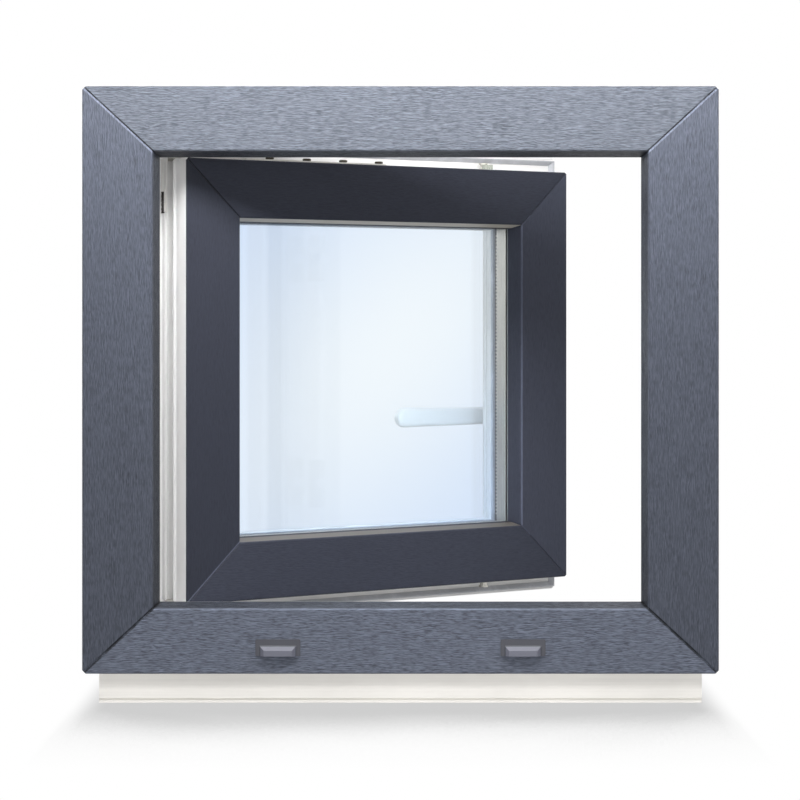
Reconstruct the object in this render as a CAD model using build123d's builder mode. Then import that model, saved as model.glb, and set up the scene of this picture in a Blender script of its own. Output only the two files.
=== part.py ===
from build123d import *
from math import hypot
import os

# Basement window: a fixed outer frame and an inward-opening sash, shown swung open.
# Millimetres. +X runs from the hinge side to the lock side as seen from outside,
# +Y from the outside face into the room, +Z up. The origin is on the underside of
# the sill connection profile, half way along it and half way through the frame.

# Outer frame
FRAME_WIDTH = 650.0
FRAME_HEIGHT = 600.0
FRAME_DEPTH = 70.0
FRAME_FACE = 66.0             # flat outside face, outer edge to reveal
FRAME_REVEAL_TAPER = 5.7      # how far the reveal slants in across the lip
FRAME_LIP = 22.0              # outside face to the lip's back
FRAME_REBATE = 53.0           # outer edge to the rebate floor
FRAME_CORNER_BLUNT = 4.0      # how much the cleaned weld takes off each outer corner

# Jambs and stiles are this much wider than the head, sill and rails, whose widths are
# the ones given here
UPRIGHT_SHARE = 1.083

# Rooms inside the profiles
OUTER_WALL = 2.8
INNER_WEB = 1.5
FRONT_CHAMBER = 8.2
EDGE_RADIUS = 2.0
NOSE_RADIUS = 0.9

# Weld seams, cleaned to a shallow V along every mitre
FRAME_SEAM_WIDTH = 3.2
SASH_SEAM_WIDTH = 2.0
SEAM_DEPTH = 0.8

# Grooves in the frame's perimeter, which carry connection profiles
PERIMETER_GROOVE_MOUTH = 5.0
PERIMETER_GROOVE_WIDTH = 7.0
PERIMETER_GROOVE_LIP = 1.5
PERIMETER_GROOVE_DEPTH = 4.5
PERIMETER_GROOVE_INSET = 15.5

# Drain channel along the rebate floor, its slots and the caps on the outside face
DRAIN_CHANNEL_DEPTH = 3.0
DRAIN_CHANNEL_WIDTH = 8.0
DRAIN_SLOT_LENGTH = 26.0
DRAIN_SLOT_WIDTH = 5.0
DRAIN_SLOT_OVERRUN = 0.8      # how far a slot is milled past the wall
DRAIN_SPACING = 250.0
DRAIN_HEIGHT = 27.0
DRAIN_CAP_LENGTH = 46.0
DRAIN_CAP_WIDTH = 17.0
DRAIN_CAP_THICKNESS = 1.2
DRAIN_CAP_RADIUS = 1.5
DRAIN_HOOD_LENGTH = 40.0      # where the hood leaves the plate
DRAIN_HOOD_WIDTH = 12.0
DRAIN_HOOD_FACE_LENGTH = 29.0
DRAIN_HOOD_FACE_WIDTH = 5.8
DRAIN_HOOD_HEIGHT = 5.5
DRAIN_HOOD_WALL = 1.0

# Sash
SASH_MARGIN = 67.0            # frame's outer edge to the edge of the closed sash
SASH_DROP = 2.5               # how much lower than the frame's middle the sash hangs
SASH_SETBACK = 25.0           # frame's outside face to the sash's outside face
SASH_DEPTH = 70.0
SASH_FACE = 61.5
SASH_REVEAL_TAPER = 4.7
SASH_LIP = 20.5
SASH_LAP = 18.5               # inner lap that covers the frame's room face
SASH_LAP_DEPTH = 48.0         # sash's outside face to the lap's back
SASH_CORNER_BLUNT = 3.0
SASH_OPEN_ANGLE = 36.5
GLAZING_REBATE = 47.5         # sash edge to the floor of the glazing rebate

# Shallow channel round the sash's edge, between its foil and the hardware groove
EDGE_CHANNEL_FRONT = 15.0
EDGE_CHANNEL_BACK = 24.5
EDGE_CHANNEL_DEPTH = 1.8

# Hardware groove round the sash
HARDWARE_AXIS = 13.0          # lap's back to the groove's centre line
FACEPLATE_WIDTH = 16.0
FACEPLATE_THICKNESS = 2.6
FACEPLATE_CLEARANCE = 0.2
HARDWARE_GROOVE_WIDTH = 12.0
HARDWARE_GROOVE_DEPTH = 12.0

# Glass unit
GLASS_THICKNESS = 4.0
GLASS_CAVITY = 20.0
GLASS_EDGE_GAP = 5.0          # packing between glass edge and rebate floor
SPACER_SIGHT_LINE = 12.5      # glass edge to the spacer's inner face
SPACER_HEIGHT = 7.0
SPACER_WALL = 0.6
OUTER_GLAZING_SEAL = 2.5
INNER_GLAZING_SEAL = 3.0
GLAZING_SEAL_HEIGHT = 6.0

# Glazing beads
BEAD_HEIGHT = 19.5
BEAD_FOOT_DEPTH = 3.0
BEAD_FOOT_WIDTH = 4.0
BEAD_FOOT_INSET = 5.0
BEAD_FOOT_CLEARANCE = 0.2
BEAD_BEVEL = 1.5
BEAD_LINE = 1.0               # width and depth of the line along the bead's crown
BEAD_LINE_FROM_ROOM = 8.5
BEAD_WALL = 1.6

# Weather seals
SEAL_GROOVE_WIDTH = 4.0
SEAL_GROOVE_DEPTH = 2.5
SEAL_INSET = 4.5              # lip's edge to the seal's groove
SEAL_HEIGHT = 5.0
SEAL_THICKNESS = 1.2

# Sill connection profile
SILL_LENGTH = 616.0
SILL_HEIGHT = 30.0
SILL_SETBACK = 6.0
SILL_DEPTH = 58.0
SILL_WALL = 2.2
SILL_GROOVE_WIDTH = 2.0
SILL_GROOVE_DEPTH = 1.6
SILL_FLANGE = 2.6
TONGUE_CLEARANCE = 0.3

# Hinges
HINGE_OFFSET = 6.0            # lap's edge to the hinge axis
HINGE_INSET = 2.0             # sash's room face to the hinge axis
KNUCKLE_RADIUS = 5.6
KNUCKLE_GAP = 0.3
PIN_RADIUS = 3.0
PIN_CLEARANCE = 0.05
HINGE_PLATE = 3.0
HINGE_PLATE_WIDTH = 26.0
HINGE_PLATE_HEIGHT = 46.0
BEARING_HEIGHT = 16.0
BARREL_HEIGHT = 34.0
LEAF_WIDTH = 22.0
LEAF_THICKNESS = 2.4
STAY_LENGTH = 282.0
STAY_WIDTH = 14.0
STAY_THICKNESS = 3.0
STAY_HOLE_RADIUS = 3.0
STAY_HOLE_PITCH = 48.5
STAY_HOLE_FROM_END = 9.0
STAY_HOLES = 4
STRAP_WIDTH = 5.0
STRAP_LENGTH = 56.0
STRAP_THICKNESS = 1.6
STRAP_GAP = 1.0               # between the strap's long leg and its short one
STRAP_SHORT_LENGTH = 34.0
STRAP_MORTISE = 4.5           # depth of the cut in the stile below the short leg

# Locking cams and the plates that they hook behind
CAM_RADIUS = 4.0
CAM_HEAD_RADIUS = 5.5
CAM_HEAD_THICKNESS = 2.0
CAM_HEIGHT = 9.0
CAM_FROM_CORNER = 95.0
CAM_TRACK_LENGTH = 44.0       # slot in the faceplate, along which the cam slides
CAM_TRACK_DEPTH = 1.2
CAM_TRACK_CLEARANCE = 0.3
STRIKE_LENGTH = 58.0
STRIKE_WIDTH = 18.0
STRIKE_THICKNESS = 7.0
STRIKE_SLOT_WIDTH = 12.5
STRIKE_SLOT_DEPTH = 13.0

# Handle
HANDLE_BACKSET = 15.5
HANDLE_DROP = 50.0            # below the middle of the sash
ROSETTE_WIDTH = 30.0
ROSETTE_HEIGHT = 68.0
ROSETTE_THICKNESS = 10.0
ROSETTE_CORNER = 13.5
ROSETTE_EDGE = 2.5
NECK_RADIUS = 8.5
NECK_BEND = 14.0              # outside of the bend from the neck to the grip
GRIP_OFFSET = 45.0            # sash's room face to the middle of the grip
GRIP_LENGTH = 147.0           # neck's axis to the tip
GRIP_THICKNESS = 12.0
GRIP_WAIST = 19.5
GRIP_TIP = 22.0
GRIP_EDGE = 4.0

# Where the two assemblies stand, each given at the middle of its outside face
TOP = Vector(0, 0, 1)
BOTTOM = Vector(0, 0, -1)
HINGE_SIDE = Vector(-1, 0, 0)
LOCK_SIDE = Vector(1, 0, 0)
INTO_ROOM = Vector(0, 1, 0)

SASH_WIDTH = FRAME_WIDTH - 2 * SASH_MARGIN
SASH_HEIGHT = FRAME_HEIGHT - 2 * SASH_MARGIN
HINGE_X = -SASH_WIDTH / 2 - SASH_LAP * UPRIGHT_SHARE - HINGE_OFFSET
HINGE_Y = SASH_DEPTH - HINGE_INSET
HARDWARE_Y = SASH_LAP_DEPTH - HARDWARE_AXIS

FRAME_PLACE = Location((0, -FRAME_DEPTH / 2, SILL_HEIGHT + FRAME_HEIGHT / 2))
HUNG_PLACE = FRAME_PLACE * Location((0, 0, -SASH_DROP))
SASH_PLACE = (
    HUNG_PLACE
    * Location((HINGE_X, SASH_SETBACK + HINGE_Y, 0))
    * Location((0, 0, 0), (0, 0, SASH_OPEN_ANGLE))
    * Location((-HINGE_X, -HINGE_Y, 0))
)

os.makedirs("parts", exist_ok=True)


def placed(place, origin, x_dir, z_dir):
    """A plane given in an assembly's own axes, moved to where that assembly stands."""
    return Plane(place * Plane(origin=origin, x_dir=x_dir, z_dir=z_dir).location)


def side_plane(place, outward, width, height):
    """Section plane in the middle of one side of a rectangle.

    Its x runs from the outer edge towards the opening and its y into the room.
    """
    reach = width / 2 if outward.X else height / 2
    return placed(place, outward * reach, -outward, (-outward).cross(INTO_ROOM))


def side_length(outward, width, height):
    return height if outward.X else width


def side_share(outward):
    """How much wider than the level bars this side's bar is."""
    return UPRIGHT_SHARE if outward.X else 1.0


def mitre_slope(outward):
    """How far along this side its mitres run for each step across it."""
    return 1 / UPRIGHT_SHARE if outward.X else UPRIGHT_SHARE


def write(part, label):
    part.label = label
    export_step(part, f"parts/{label}.step")


def block(low_x, high_x, low_y, high_y, mode=Mode.SUBTRACT):
    """Rectangle between two corners of the sketch, cut away unless another mode is asked."""
    with Locations(((low_x + high_x) / 2, (low_y + high_y) / 2)):
        Rectangle(high_x - low_x, high_y - low_y, mode=mode)


def frame_section(plane, share):
    """Outer frame, cut across: x from the outer edge inwards, y from the outside face.

    Here and in the other sections, share widens what lies across an upright bar.
    """
    with BuildSketch(plane) as section:
        face = FRAME_FACE * share
        lip = (FRAME_FACE + FRAME_REVEAL_TAPER) * share
        rebate = FRAME_REBATE * share
        channel = FRAME_LIP + OUTER_WALL
        with BuildLine():
            Polyline(
                (0, 0),
                (face, 0),
                (lip, FRAME_LIP - 2 * NOSE_RADIUS),
                (lip, FRAME_LIP),
                (rebate, FRAME_LIP),
                (rebate, FRAME_DEPTH),
                (0, FRAME_DEPTH),
                close=True,
            )
        make_face()
        outside = vertices().group_by(Axis.Y)[0]
        room_side = vertices().group_by(Axis.Y)[-1]
        nose = vertices().group_by(Axis.X)[-1]
        fillet(outside, EDGE_RADIUS)
        fillet(room_side, EDGE_RADIUS)
        fillet(nose, NOSE_RADIUS)
        for middle in (PERIMETER_GROOVE_INSET, FRAME_DEPTH - PERIMETER_GROOVE_INSET):
            mouth = PERIMETER_GROOVE_MOUTH / 2
            half = PERIMETER_GROOVE_WIDTH / 2
            block(0, PERIMETER_GROOVE_DEPTH, middle - mouth, middle + mouth)
            block(PERIMETER_GROOVE_LIP, PERIMETER_GROOVE_DEPTH, middle - half, middle + half)
        block(rebate - DRAIN_CHANNEL_DEPTH, rebate, channel, channel + DRAIN_CHANNEL_WIDTH)
        seal = lip - SEAL_INSET
        block(seal - SEAL_GROOVE_WIDTH, seal, FRAME_LIP - SEAL_GROOVE_DEPTH, FRAME_LIP)
        frame_chambers(face, rebate)
    return section.sketch


def frame_chambers(face, rebate):
    """Hollow rooms of the outer frame, from the outside face to the room face."""
    behind_groove = PERIMETER_GROOVE_DEPTH + OUTER_WALL
    lip_front = OUTER_WALL + FRONT_CHAMBER + INNER_WEB
    lip_back = FRAME_LIP - SEAL_GROOVE_DEPTH - INNER_WEB
    main_front = FRAME_LIP - INNER_WEB
    main_back = FRAME_DEPTH - PERIMETER_GROOVE_INSET - PERIMETER_GROOVE_WIDTH / 2 - INNER_WEB
    block(OUTER_WALL, face - OUTER_WALL, OUTER_WALL, OUTER_WALL + FRONT_CHAMBER)
    block(behind_groove, face, lip_front, lip_back)
    block(OUTER_WALL, rebate - DRAIN_CHANNEL_DEPTH - OUTER_WALL, main_front, main_back)
    block(
        behind_groove, rebate - OUTER_WALL, main_back + INNER_WEB, FRAME_DEPTH - OUTER_WALL
    )


def sash_section(plane, share):
    """Sash, cut across: x from its outer edge inwards, y from its outside face."""
    with BuildSketch(plane) as section:
        face = SASH_FACE * share
        lip = (SASH_FACE + SASH_REVEAL_TAPER) * share
        rebate = GLAZING_REBATE * share
        lap_edge = -SASH_LAP * share
        with BuildLine():
            Polyline(
                (0, 0),
                (face, 0),
                (lip, SASH_LIP - 2 * NOSE_RADIUS),
                (lip, SASH_LIP),
                (rebate, SASH_LIP),
                (rebate, SASH_DEPTH),
                (lap_edge, SASH_DEPTH),
                (lap_edge, SASH_LAP_DEPTH),
                (0, SASH_LAP_DEPTH),
                close=True,
            )
        make_face()
        outside = vertices().group_by(Axis.Y)[0]
        nose = vertices().group_by(Axis.X)[-1]
        lap = vertices().group_by(Axis.X)[0]
        fillet(outside, EDGE_RADIUS)
        fillet(nose, NOSE_RADIUS)
        fillet(lap, EDGE_RADIUS)
        half_plate = FACEPLATE_WIDTH / 2 + FACEPLATE_CLEARANCE
        half_groove = HARDWARE_GROOVE_WIDTH / 2
        block(0, FACEPLATE_THICKNESS, HARDWARE_Y - half_plate, HARDWARE_Y + half_plate)
        block(
            FACEPLATE_THICKNESS, HARDWARE_GROOVE_DEPTH,
            HARDWARE_Y - half_groove, HARDWARE_Y + half_groove,
        )
        with BuildLine():
            Polyline(
                (0, EDGE_CHANNEL_FRONT),
                (EDGE_CHANNEL_DEPTH, EDGE_CHANNEL_FRONT + EDGE_CHANNEL_DEPTH),
                (EDGE_CHANNEL_DEPTH, EDGE_CHANNEL_BACK - EDGE_CHANNEL_DEPTH),
                (0, EDGE_CHANNEL_BACK),
                close=True,
            )
        make_face(mode=Mode.SUBTRACT)
        foot = SASH_DEPTH - BEAD_FOOT_INSET
        block(rebate - BEAD_FOOT_DEPTH, rebate, foot - BEAD_FOOT_WIDTH, foot)
        seal = lap_edge + SEAL_INSET
        block(seal, seal + SEAL_GROOVE_WIDTH, SASH_LAP_DEPTH, SASH_LAP_DEPTH + SEAL_GROOVE_DEPTH)
        sash_chambers(face, rebate, lap_edge)
    return section.sketch


def sash_chambers(face, rebate, lap_edge):
    """Hollow rooms of the sash, from its outside face to its room face."""
    lip_front = OUTER_WALL + FRONT_CHAMBER + INNER_WEB
    main_front = SASH_LIP - INNER_WEB
    rear = SASH_LAP_DEPTH + SEAL_GROOVE_DEPTH + INNER_WEB
    behind_channel = EDGE_CHANNEL_DEPTH + OUTER_WALL
    block(OUTER_WALL, face - OUTER_WALL, OUTER_WALL, OUTER_WALL + FRONT_CHAMBER)
    block(behind_channel, face, lip_front, SASH_LIP - OUTER_WALL)
    block(
        HARDWARE_GROOVE_DEPTH + OUTER_WALL, rebate - OUTER_WALL, main_front, rear - INNER_WEB
    )
    block(
        lap_edge + OUTER_WALL, rebate - BEAD_FOOT_DEPTH - OUTER_WALL,
        rear, SASH_DEPTH - OUTER_WALL,
    )


def bead_section(plane, share):
    """Glazing bead: it stands on the rebate floor with its foot in the sash's groove."""
    with BuildSketch(plane) as section:
        back = bead_back()
        floor = GLAZING_REBATE * share
        top = (GLAZING_REBATE + BEAD_HEIGHT) * share
        with BuildLine():
            Polyline(
                (floor, back),
                (top, back),
                (top, SASH_DEPTH - 2 * BEAD_BEVEL),
                (top - BEAD_BEVEL, SASH_DEPTH),
                (floor, SASH_DEPTH),
                close=True,
            )
        make_face()
        crown = vertices().group_by(Axis.X)[-1]
        room_side = vertices().group_by(Axis.Y)[-1].sort_by(Axis.X)[-1]
        fillet(crown, NOSE_RADIUS)
        fillet(room_side, NOSE_RADIUS)
        line = SASH_DEPTH - BEAD_LINE_FROM_ROOM
        block(top - BEAD_LINE, top, line - BEAD_LINE, line)
        foot = SASH_DEPTH - BEAD_FOOT_INSET
        block(
            floor - BEAD_FOOT_DEPTH + BEAD_FOOT_CLEARANCE, floor,
            foot - BEAD_FOOT_WIDTH + BEAD_FOOT_CLEARANCE, foot - BEAD_FOOT_CLEARANCE,
            mode=Mode.ADD,
        )
        block(
            floor + BEAD_WALL, top - BEAD_LINE - BEAD_WALL,
            back + BEAD_WALL, SASH_DEPTH - BEAD_WALL,
        )
    return section.sketch


def glass_front():
    return SASH_LIP + OUTER_GLAZING_SEAL


def glass_back():
    return glass_front() + 2 * GLASS_THICKNESS + GLASS_CAVITY


def bead_back():
    return glass_back() + INNER_GLAZING_SEAL


def mitre(plane, length, slope):
    """Cut both ends of the bar that stands on this section plane along its mitres."""
    for end in (-1, 1):
        corner = plane.from_local_coords(Vector(0, 0, end * length / 2))
        split(
            bisect_by=Plane(origin=corner, z_dir=plane.x_dir * slope + plane.z_dir * end),
            keep=Keep.BOTTOM,
        )


def blunt_corners(plane, length, slope, outer, blunt, low, high):
    """Take the point off the welded corners whose edge is at this x of the section.

    The cut goes through the section from depth low to depth high.
    """
    tip = length / 2 - outer * slope
    with BuildSketch(Plane(plane.from_local_coords((0, low, 0)), plane.x_dir, plane.y_dir)) as tips:
        for end in (-1, 1):
            with BuildLine():
                Polyline(
                    (outer - blunt, -end * (tip - 2 * blunt)),
                    (outer + blunt, -end * tip),
                    (outer - blunt, -end * (tip + blunt)),
                    close=True,
                )
            make_face()
    extrude(tips.sketch, amount=high - low, mode=Mode.SUBTRACT)


def weld_seams(plane, length, slope, low, high, face, inwards, width):
    """This bar's half of the V-shaped seams in a face at the given depth of the section.

    low and high are where the face starts and ends on the section, and inwards says
    which way its material lies.
    """
    for end in (-1, 1):
        start = plane.from_local_coords(Vector(low, face, end * (length / 2 - low * slope)))
        across = plane.x_dir * slope + plane.z_dir * end
        run = plane.x_dir - plane.z_dir * end * slope
        with BuildSketch(Plane(origin=start, x_dir=across, z_dir=run)) as seam:
            with BuildLine():
                Polyline(
                    (-width / 2, 0), (width / 2, 0), (0, -end * inwards * SEAM_DEPTH), close=True
                )
            make_face()
        extrude(seam.sketch, amount=(high - low) * hypot(1, slope), mode=Mode.SUBTRACT)


def lap_reach():
    """How far the widest lap of the sash stands out past its edges."""
    return SASH_LAP * UPRIGHT_SHARE


def mitred_bar(place, outward, width, height, section, lap=0):
    """One side of a rectangular frame, with the section drawn from its outer edge.

    lap is how far the section reaches outside that edge.
    """
    plane = side_plane(place, outward, width, height)
    length = side_length(outward, width, height)
    with BuildPart() as bar:
        extrude(section(plane, side_share(outward)), amount=length / 2 + lap, both=True)
        mitre(plane, length, mitre_slope(outward))
    return bar.part


def frame_bar(outward):
    """One side of the outer frame, with its seams and blunted corners."""
    plane = side_plane(FRAME_PLACE, outward, FRAME_WIDTH, FRAME_HEIGHT)
    length = side_length(outward, FRAME_WIDTH, FRAME_HEIGHT)
    slope, share = mitre_slope(outward), side_share(outward)
    face, rebate = FRAME_FACE * share, FRAME_REBATE * share
    with BuildPart() as bar:
        add(mitred_bar(FRAME_PLACE, outward, FRAME_WIDTH, FRAME_HEIGHT, frame_section))
        blunt_corners(plane, length, slope, 0, FRAME_CORNER_BLUNT, 0, FRAME_DEPTH)
        weld_seams(plane, length, slope, 0, face, 0, 1, FRAME_SEAM_WIDTH)
        weld_seams(plane, length, slope, 0, rebate, FRAME_DEPTH, -1, FRAME_SEAM_WIDTH)
    return bar.part


def sash_bar(outward):
    """One side of the sash, with its seams and blunted corners."""
    plane = side_plane(SASH_PLACE, outward, SASH_WIDTH, SASH_HEIGHT)
    length = side_length(outward, SASH_WIDTH, SASH_HEIGHT)
    slope, share = mitre_slope(outward), side_share(outward)
    lap, rebate = -SASH_LAP * share, GLAZING_REBATE * share
    with BuildPart() as bar:
        add(mitred_bar(SASH_PLACE, outward, SASH_WIDTH, SASH_HEIGHT, sash_section, lap_reach()))
        blunt_corners(plane, length, slope, 0, SASH_CORNER_BLUNT, 0, SASH_LAP_DEPTH)
        blunt_corners(plane, length, slope, lap, SASH_CORNER_BLUNT, SASH_LAP_DEPTH, SASH_DEPTH)
        weld_seams(plane, length, slope, 0, SASH_FACE * share, 0, 1, SASH_SEAM_WIDTH)
        weld_seams(plane, length, slope, lap, rebate, SASH_DEPTH, -1, SASH_SEAM_WIDTH)
    return bar.part


def ring(place, width, height, section, label, lap=0):
    """A mitred frame of one section all round, welded into one piece."""
    bars = [
        mitred_bar(place, outward, width, height, section, lap)
        for outward in (TOP, BOTTOM, HINGE_SIDE, LOCK_SIDE)
    ]
    with BuildPart() as welded:
        add(bars)
    write(welded.part, label)


# Outer frame: head, sill and two jambs, mitred at the corners
for label, outward in (
    ("frame_head", TOP),
    ("frame_left_jamb", HINGE_SIDE),
    ("frame_right_jamb", LOCK_SIDE),
):
    write(frame_bar(outward), label)

# The sill drains its channel into the front chamber, and that one through the face
frame_sill_bar = frame_bar(BOTTOM)
with BuildPart() as frame_sill:
    add(frame_sill_bar)
    face_plane = placed(
        FRAME_PLACE, (0, 0, -FRAME_HEIGHT / 2 + DRAIN_HEIGHT), LOCK_SIDE, INTO_ROOM
    )
    with BuildSketch(face_plane):
        with GridLocations(DRAIN_SPACING, 0, 2, 1):
            SlotOverall(DRAIN_SLOT_LENGTH, DRAIN_SLOT_WIDTH)
    extrude(amount=OUTER_WALL + DRAIN_SLOT_OVERRUN, mode=Mode.SUBTRACT)
    floor_plane = placed(
        FRAME_PLACE,
        (0, FRAME_LIP + OUTER_WALL + DRAIN_CHANNEL_WIDTH / 2, -FRAME_HEIGHT / 2 + FRAME_REBATE),
        LOCK_SIDE,
        BOTTOM,
    )
    with BuildSketch(floor_plane):
        with GridLocations(DRAIN_SPACING, 0, 2, 1):
            SlotOverall(DRAIN_SLOT_LENGTH, DRAIN_SLOT_WIDTH)
    extrude(
        amount=DRAIN_CHANNEL_DEPTH + OUTER_WALL + DRAIN_SLOT_OVERRUN, mode=Mode.SUBTRACT
    )
write(frame_sill.part, "frame_sill")


def frame_seal_section(plane, share):
    """Seal in the back of the frame's lip: a foot in the groove and a slanting tongue."""
    with BuildSketch(plane) as section:
        edge = (FRAME_FACE + FRAME_REVEAL_TAPER) * share - SEAL_INSET
        foot = edge - SEAL_GROOVE_WIDTH
        block(foot, edge, FRAME_LIP - SEAL_GROOVE_DEPTH, FRAME_LIP, mode=Mode.ADD)
        with BuildLine():
            Polyline(
                (foot, FRAME_LIP),
                (foot, FRAME_LIP + SEAL_THICKNESS),
                (edge, FRAME_LIP + SEAL_HEIGHT),
                (edge + SEAL_THICKNESS, FRAME_LIP + SEAL_HEIGHT),
                (foot + 2 * SEAL_THICKNESS, FRAME_LIP + SEAL_THICKNESS),
                (edge, FRAME_LIP + SEAL_THICKNESS),
                (edge, FRAME_LIP),
                close=True,
            )
        make_face()
    return section.sketch


ring(FRAME_PLACE, FRAME_WIDTH, FRAME_HEIGHT, frame_seal_section, "frame_seal")


def hood_section(plane, length, width, wall):
    """The drain hood cut parallel to its plate, from the plate's lower edge upwards."""
    with BuildSketch(plane) as section:
        with Locations((0, (width - DRAIN_CAP_WIDTH) / 2 - wall)):
            Rectangle(length - 2 * wall, width)
    return section.sketch


# Drain caps: a flat plate with a wedge-shaped hood that is open at its lower side
for label, across in (("drain_cap_left", -1), ("drain_cap_right", 1)):
    middle = Vector(across * DRAIN_SPACING / 2, 0, -FRAME_HEIGHT / 2 + DRAIN_HEIGHT)
    cap_plane = placed(FRAME_PLACE, middle, LOCK_SIDE, -INTO_ROOM)
    with BuildPart() as drain_cap:
        with BuildSketch(cap_plane):
            RectangleRounded(DRAIN_CAP_LENGTH, DRAIN_CAP_WIDTH, DRAIN_CAP_RADIUS)
        extrude(amount=DRAIN_CAP_THICKNESS)
        for wall, mode in ((0, Mode.ADD), (DRAIN_HOOD_WALL, Mode.SUBTRACT)):
            top_plane = cap_plane.offset(DRAIN_HOOD_HEIGHT - wall)
            loft(
                sections=[
                    hood_section(cap_plane, DRAIN_HOOD_LENGTH, DRAIN_HOOD_WIDTH, wall),
                    hood_section(
                        top_plane, DRAIN_HOOD_FACE_LENGTH, DRAIN_HOOD_FACE_WIDTH, wall
                    ),
                ],
                mode=mode,
            )
    write(drain_cap.part, label)

# Sill connection profile: a hollow bar whose two tongues hook into the frame's grooves
sill_section_plane = placed(
    FRAME_PLACE, (0, 0, -FRAME_HEIGHT / 2), INTO_ROOM, LOCK_SIDE
)
with BuildPart() as sill_profile:
    with BuildSketch(sill_section_plane):
        back = SILL_SETBACK + SILL_DEPTH
        block(SILL_SETBACK, back, -SILL_HEIGHT, 0, mode=Mode.ADD)
        block(
            SILL_SETBACK, SILL_SETBACK + SILL_GROOVE_DEPTH,
            SILL_FLANGE - SILL_HEIGHT, SILL_FLANGE + SILL_GROOVE_WIDTH - SILL_HEIGHT,
        )
        for middle in (PERIMETER_GROOVE_INSET, FRAME_DEPTH - PERIMETER_GROOVE_INSET):
            half_neck = PERIMETER_GROOVE_MOUTH / 2 - TONGUE_CLEARANCE
            half_head = PERIMETER_GROOVE_WIDTH / 2 - TONGUE_CLEARANCE
            head = PERIMETER_GROOVE_DEPTH - TONGUE_CLEARANCE
            block(middle - half_neck, middle + half_neck, 0, head, mode=Mode.ADD)
            block(
                middle - half_head, middle + half_head,
                PERIMETER_GROOVE_LIP + TONGUE_CLEARANCE, head,
                mode=Mode.ADD,
            )
        inner_front = SILL_SETBACK + SILL_GROOVE_DEPTH + SILL_WALL
        room = (SILL_DEPTH - SILL_GROOVE_DEPTH - 4 * SILL_WALL) / 3
        for index in range(3):
            start = inner_front + index * (room + SILL_WALL)
            block(start, start + room, SILL_FLANGE - SILL_HEIGHT, -SILL_WALL)
    extrude(amount=SILL_LENGTH / 2, both=True)
write(sill_profile.part, "sill_profile")

def strap_plane():
    """On the hinge stile's edge, at the lap and the sash's top: x outwards, y upwards."""
    corner = Vector(-SASH_WIDTH / 2, SASH_LAP_DEPTH, SASH_HEIGHT / 2)
    return placed(SASH_PLACE, corner, -INTO_ROOM, HINGE_SIDE)


def strap_mortise():
    """Cut in the hinge stile's edge below the short leg of the upper hinge's strap."""
    with BuildPart() as mortise:
        with BuildSketch(strap_plane()):
            block(0, STRAP_WIDTH, -STRAP_LENGTH, -STRAP_SHORT_LENGTH, mode=Mode.ADD)
        extrude(amount=-STRAP_MORTISE)
    return mortise.part


# Sash: two rails and two stiles, mitred at the corners
for label, outward in (
    ("sash_top_rail", TOP),
    ("sash_bottom_rail", BOTTOM),
    ("sash_hinge_stile", HINGE_SIDE),
    ("sash_lock_stile", LOCK_SIDE),
):
    bar = sash_bar(outward)
    if outward == HINGE_SIDE:
        bar = bar - strap_mortise()
    write(bar, label)


def sash_seal_section(plane, share):
    """Seal in the back of the sash's lap, its tongue towards the frame's room face."""
    with BuildSketch(plane) as section:
        foot = SEAL_INSET - SASH_LAP * share
        edge = foot + SEAL_GROOVE_WIDTH
        block(foot, edge, SASH_LAP_DEPTH, SASH_LAP_DEPTH + SEAL_GROOVE_DEPTH, mode=Mode.ADD)
        with BuildLine():
            Polyline(
                (edge, SASH_LAP_DEPTH),
                (edge, SASH_LAP_DEPTH - SEAL_THICKNESS),
                (foot, SASH_LAP_DEPTH - SEAL_HEIGHT),
                (foot - SEAL_THICKNESS, SASH_LAP_DEPTH - SEAL_HEIGHT),
                (edge - 2 * SEAL_THICKNESS, SASH_LAP_DEPTH - SEAL_THICKNESS),
                (foot, SASH_LAP_DEPTH - SEAL_THICKNESS),
                (foot, SASH_LAP_DEPTH),
                close=True,
            )
        make_face()
    return section.sketch


ring(SASH_PLACE, SASH_WIDTH, SASH_HEIGHT, sash_seal_section, "sash_seal", lap_reach())

# Glass unit: two panes, a hollow spacer bar and the edge seal round it
GLASS_EDGE = GLAZING_REBATE + GLASS_EDGE_GAP
PANE_WIDTH = SASH_WIDTH - 2 * GLASS_EDGE * UPRIGHT_SHARE
PANE_HEIGHT = SASH_HEIGHT - 2 * GLASS_EDGE
for label, front in (
    ("outer_pane", glass_front()),
    ("inner_pane", glass_back() - GLASS_THICKNESS),
):
    with BuildPart() as pane:
        with BuildSketch(placed(SASH_PLACE, INTO_ROOM * front, LOCK_SIDE, INTO_ROOM)):
            Rectangle(PANE_WIDTH, PANE_HEIGHT)
        extrude(amount=GLASS_THICKNESS)
    write(pane.part, label)


def spacer_section(plane, share):
    """Spacer bar between the panes, a thin-walled box."""
    with BuildSketch(plane) as section:
        sight = (GLASS_EDGE + SPACER_SIGHT_LINE) * share
        front = glass_front() + GLASS_THICKNESS
        block(sight - SPACER_HEIGHT, sight, front, front + GLASS_CAVITY, mode=Mode.ADD)
        block(
            sight - SPACER_HEIGHT + SPACER_WALL, sight - SPACER_WALL,
            front + SPACER_WALL, front + GLASS_CAVITY - SPACER_WALL,
        )
    return section.sketch


def edge_seal_section(plane, share):
    """Sealant that fills the glass edge outside the spacer bar."""
    with BuildSketch(plane) as section:
        front = glass_front() + GLASS_THICKNESS
        block(
            GLASS_EDGE * share, (GLASS_EDGE + SPACER_SIGHT_LINE) * share - SPACER_HEIGHT,
            front, front + GLASS_CAVITY,
            mode=Mode.ADD,
        )
    return section.sketch


ring(SASH_PLACE, SASH_WIDTH, SASH_HEIGHT, spacer_section, "spacer_bar")
ring(SASH_PLACE, SASH_WIDTH, SASH_HEIGHT, edge_seal_section, "glass_edge_seal")


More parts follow.
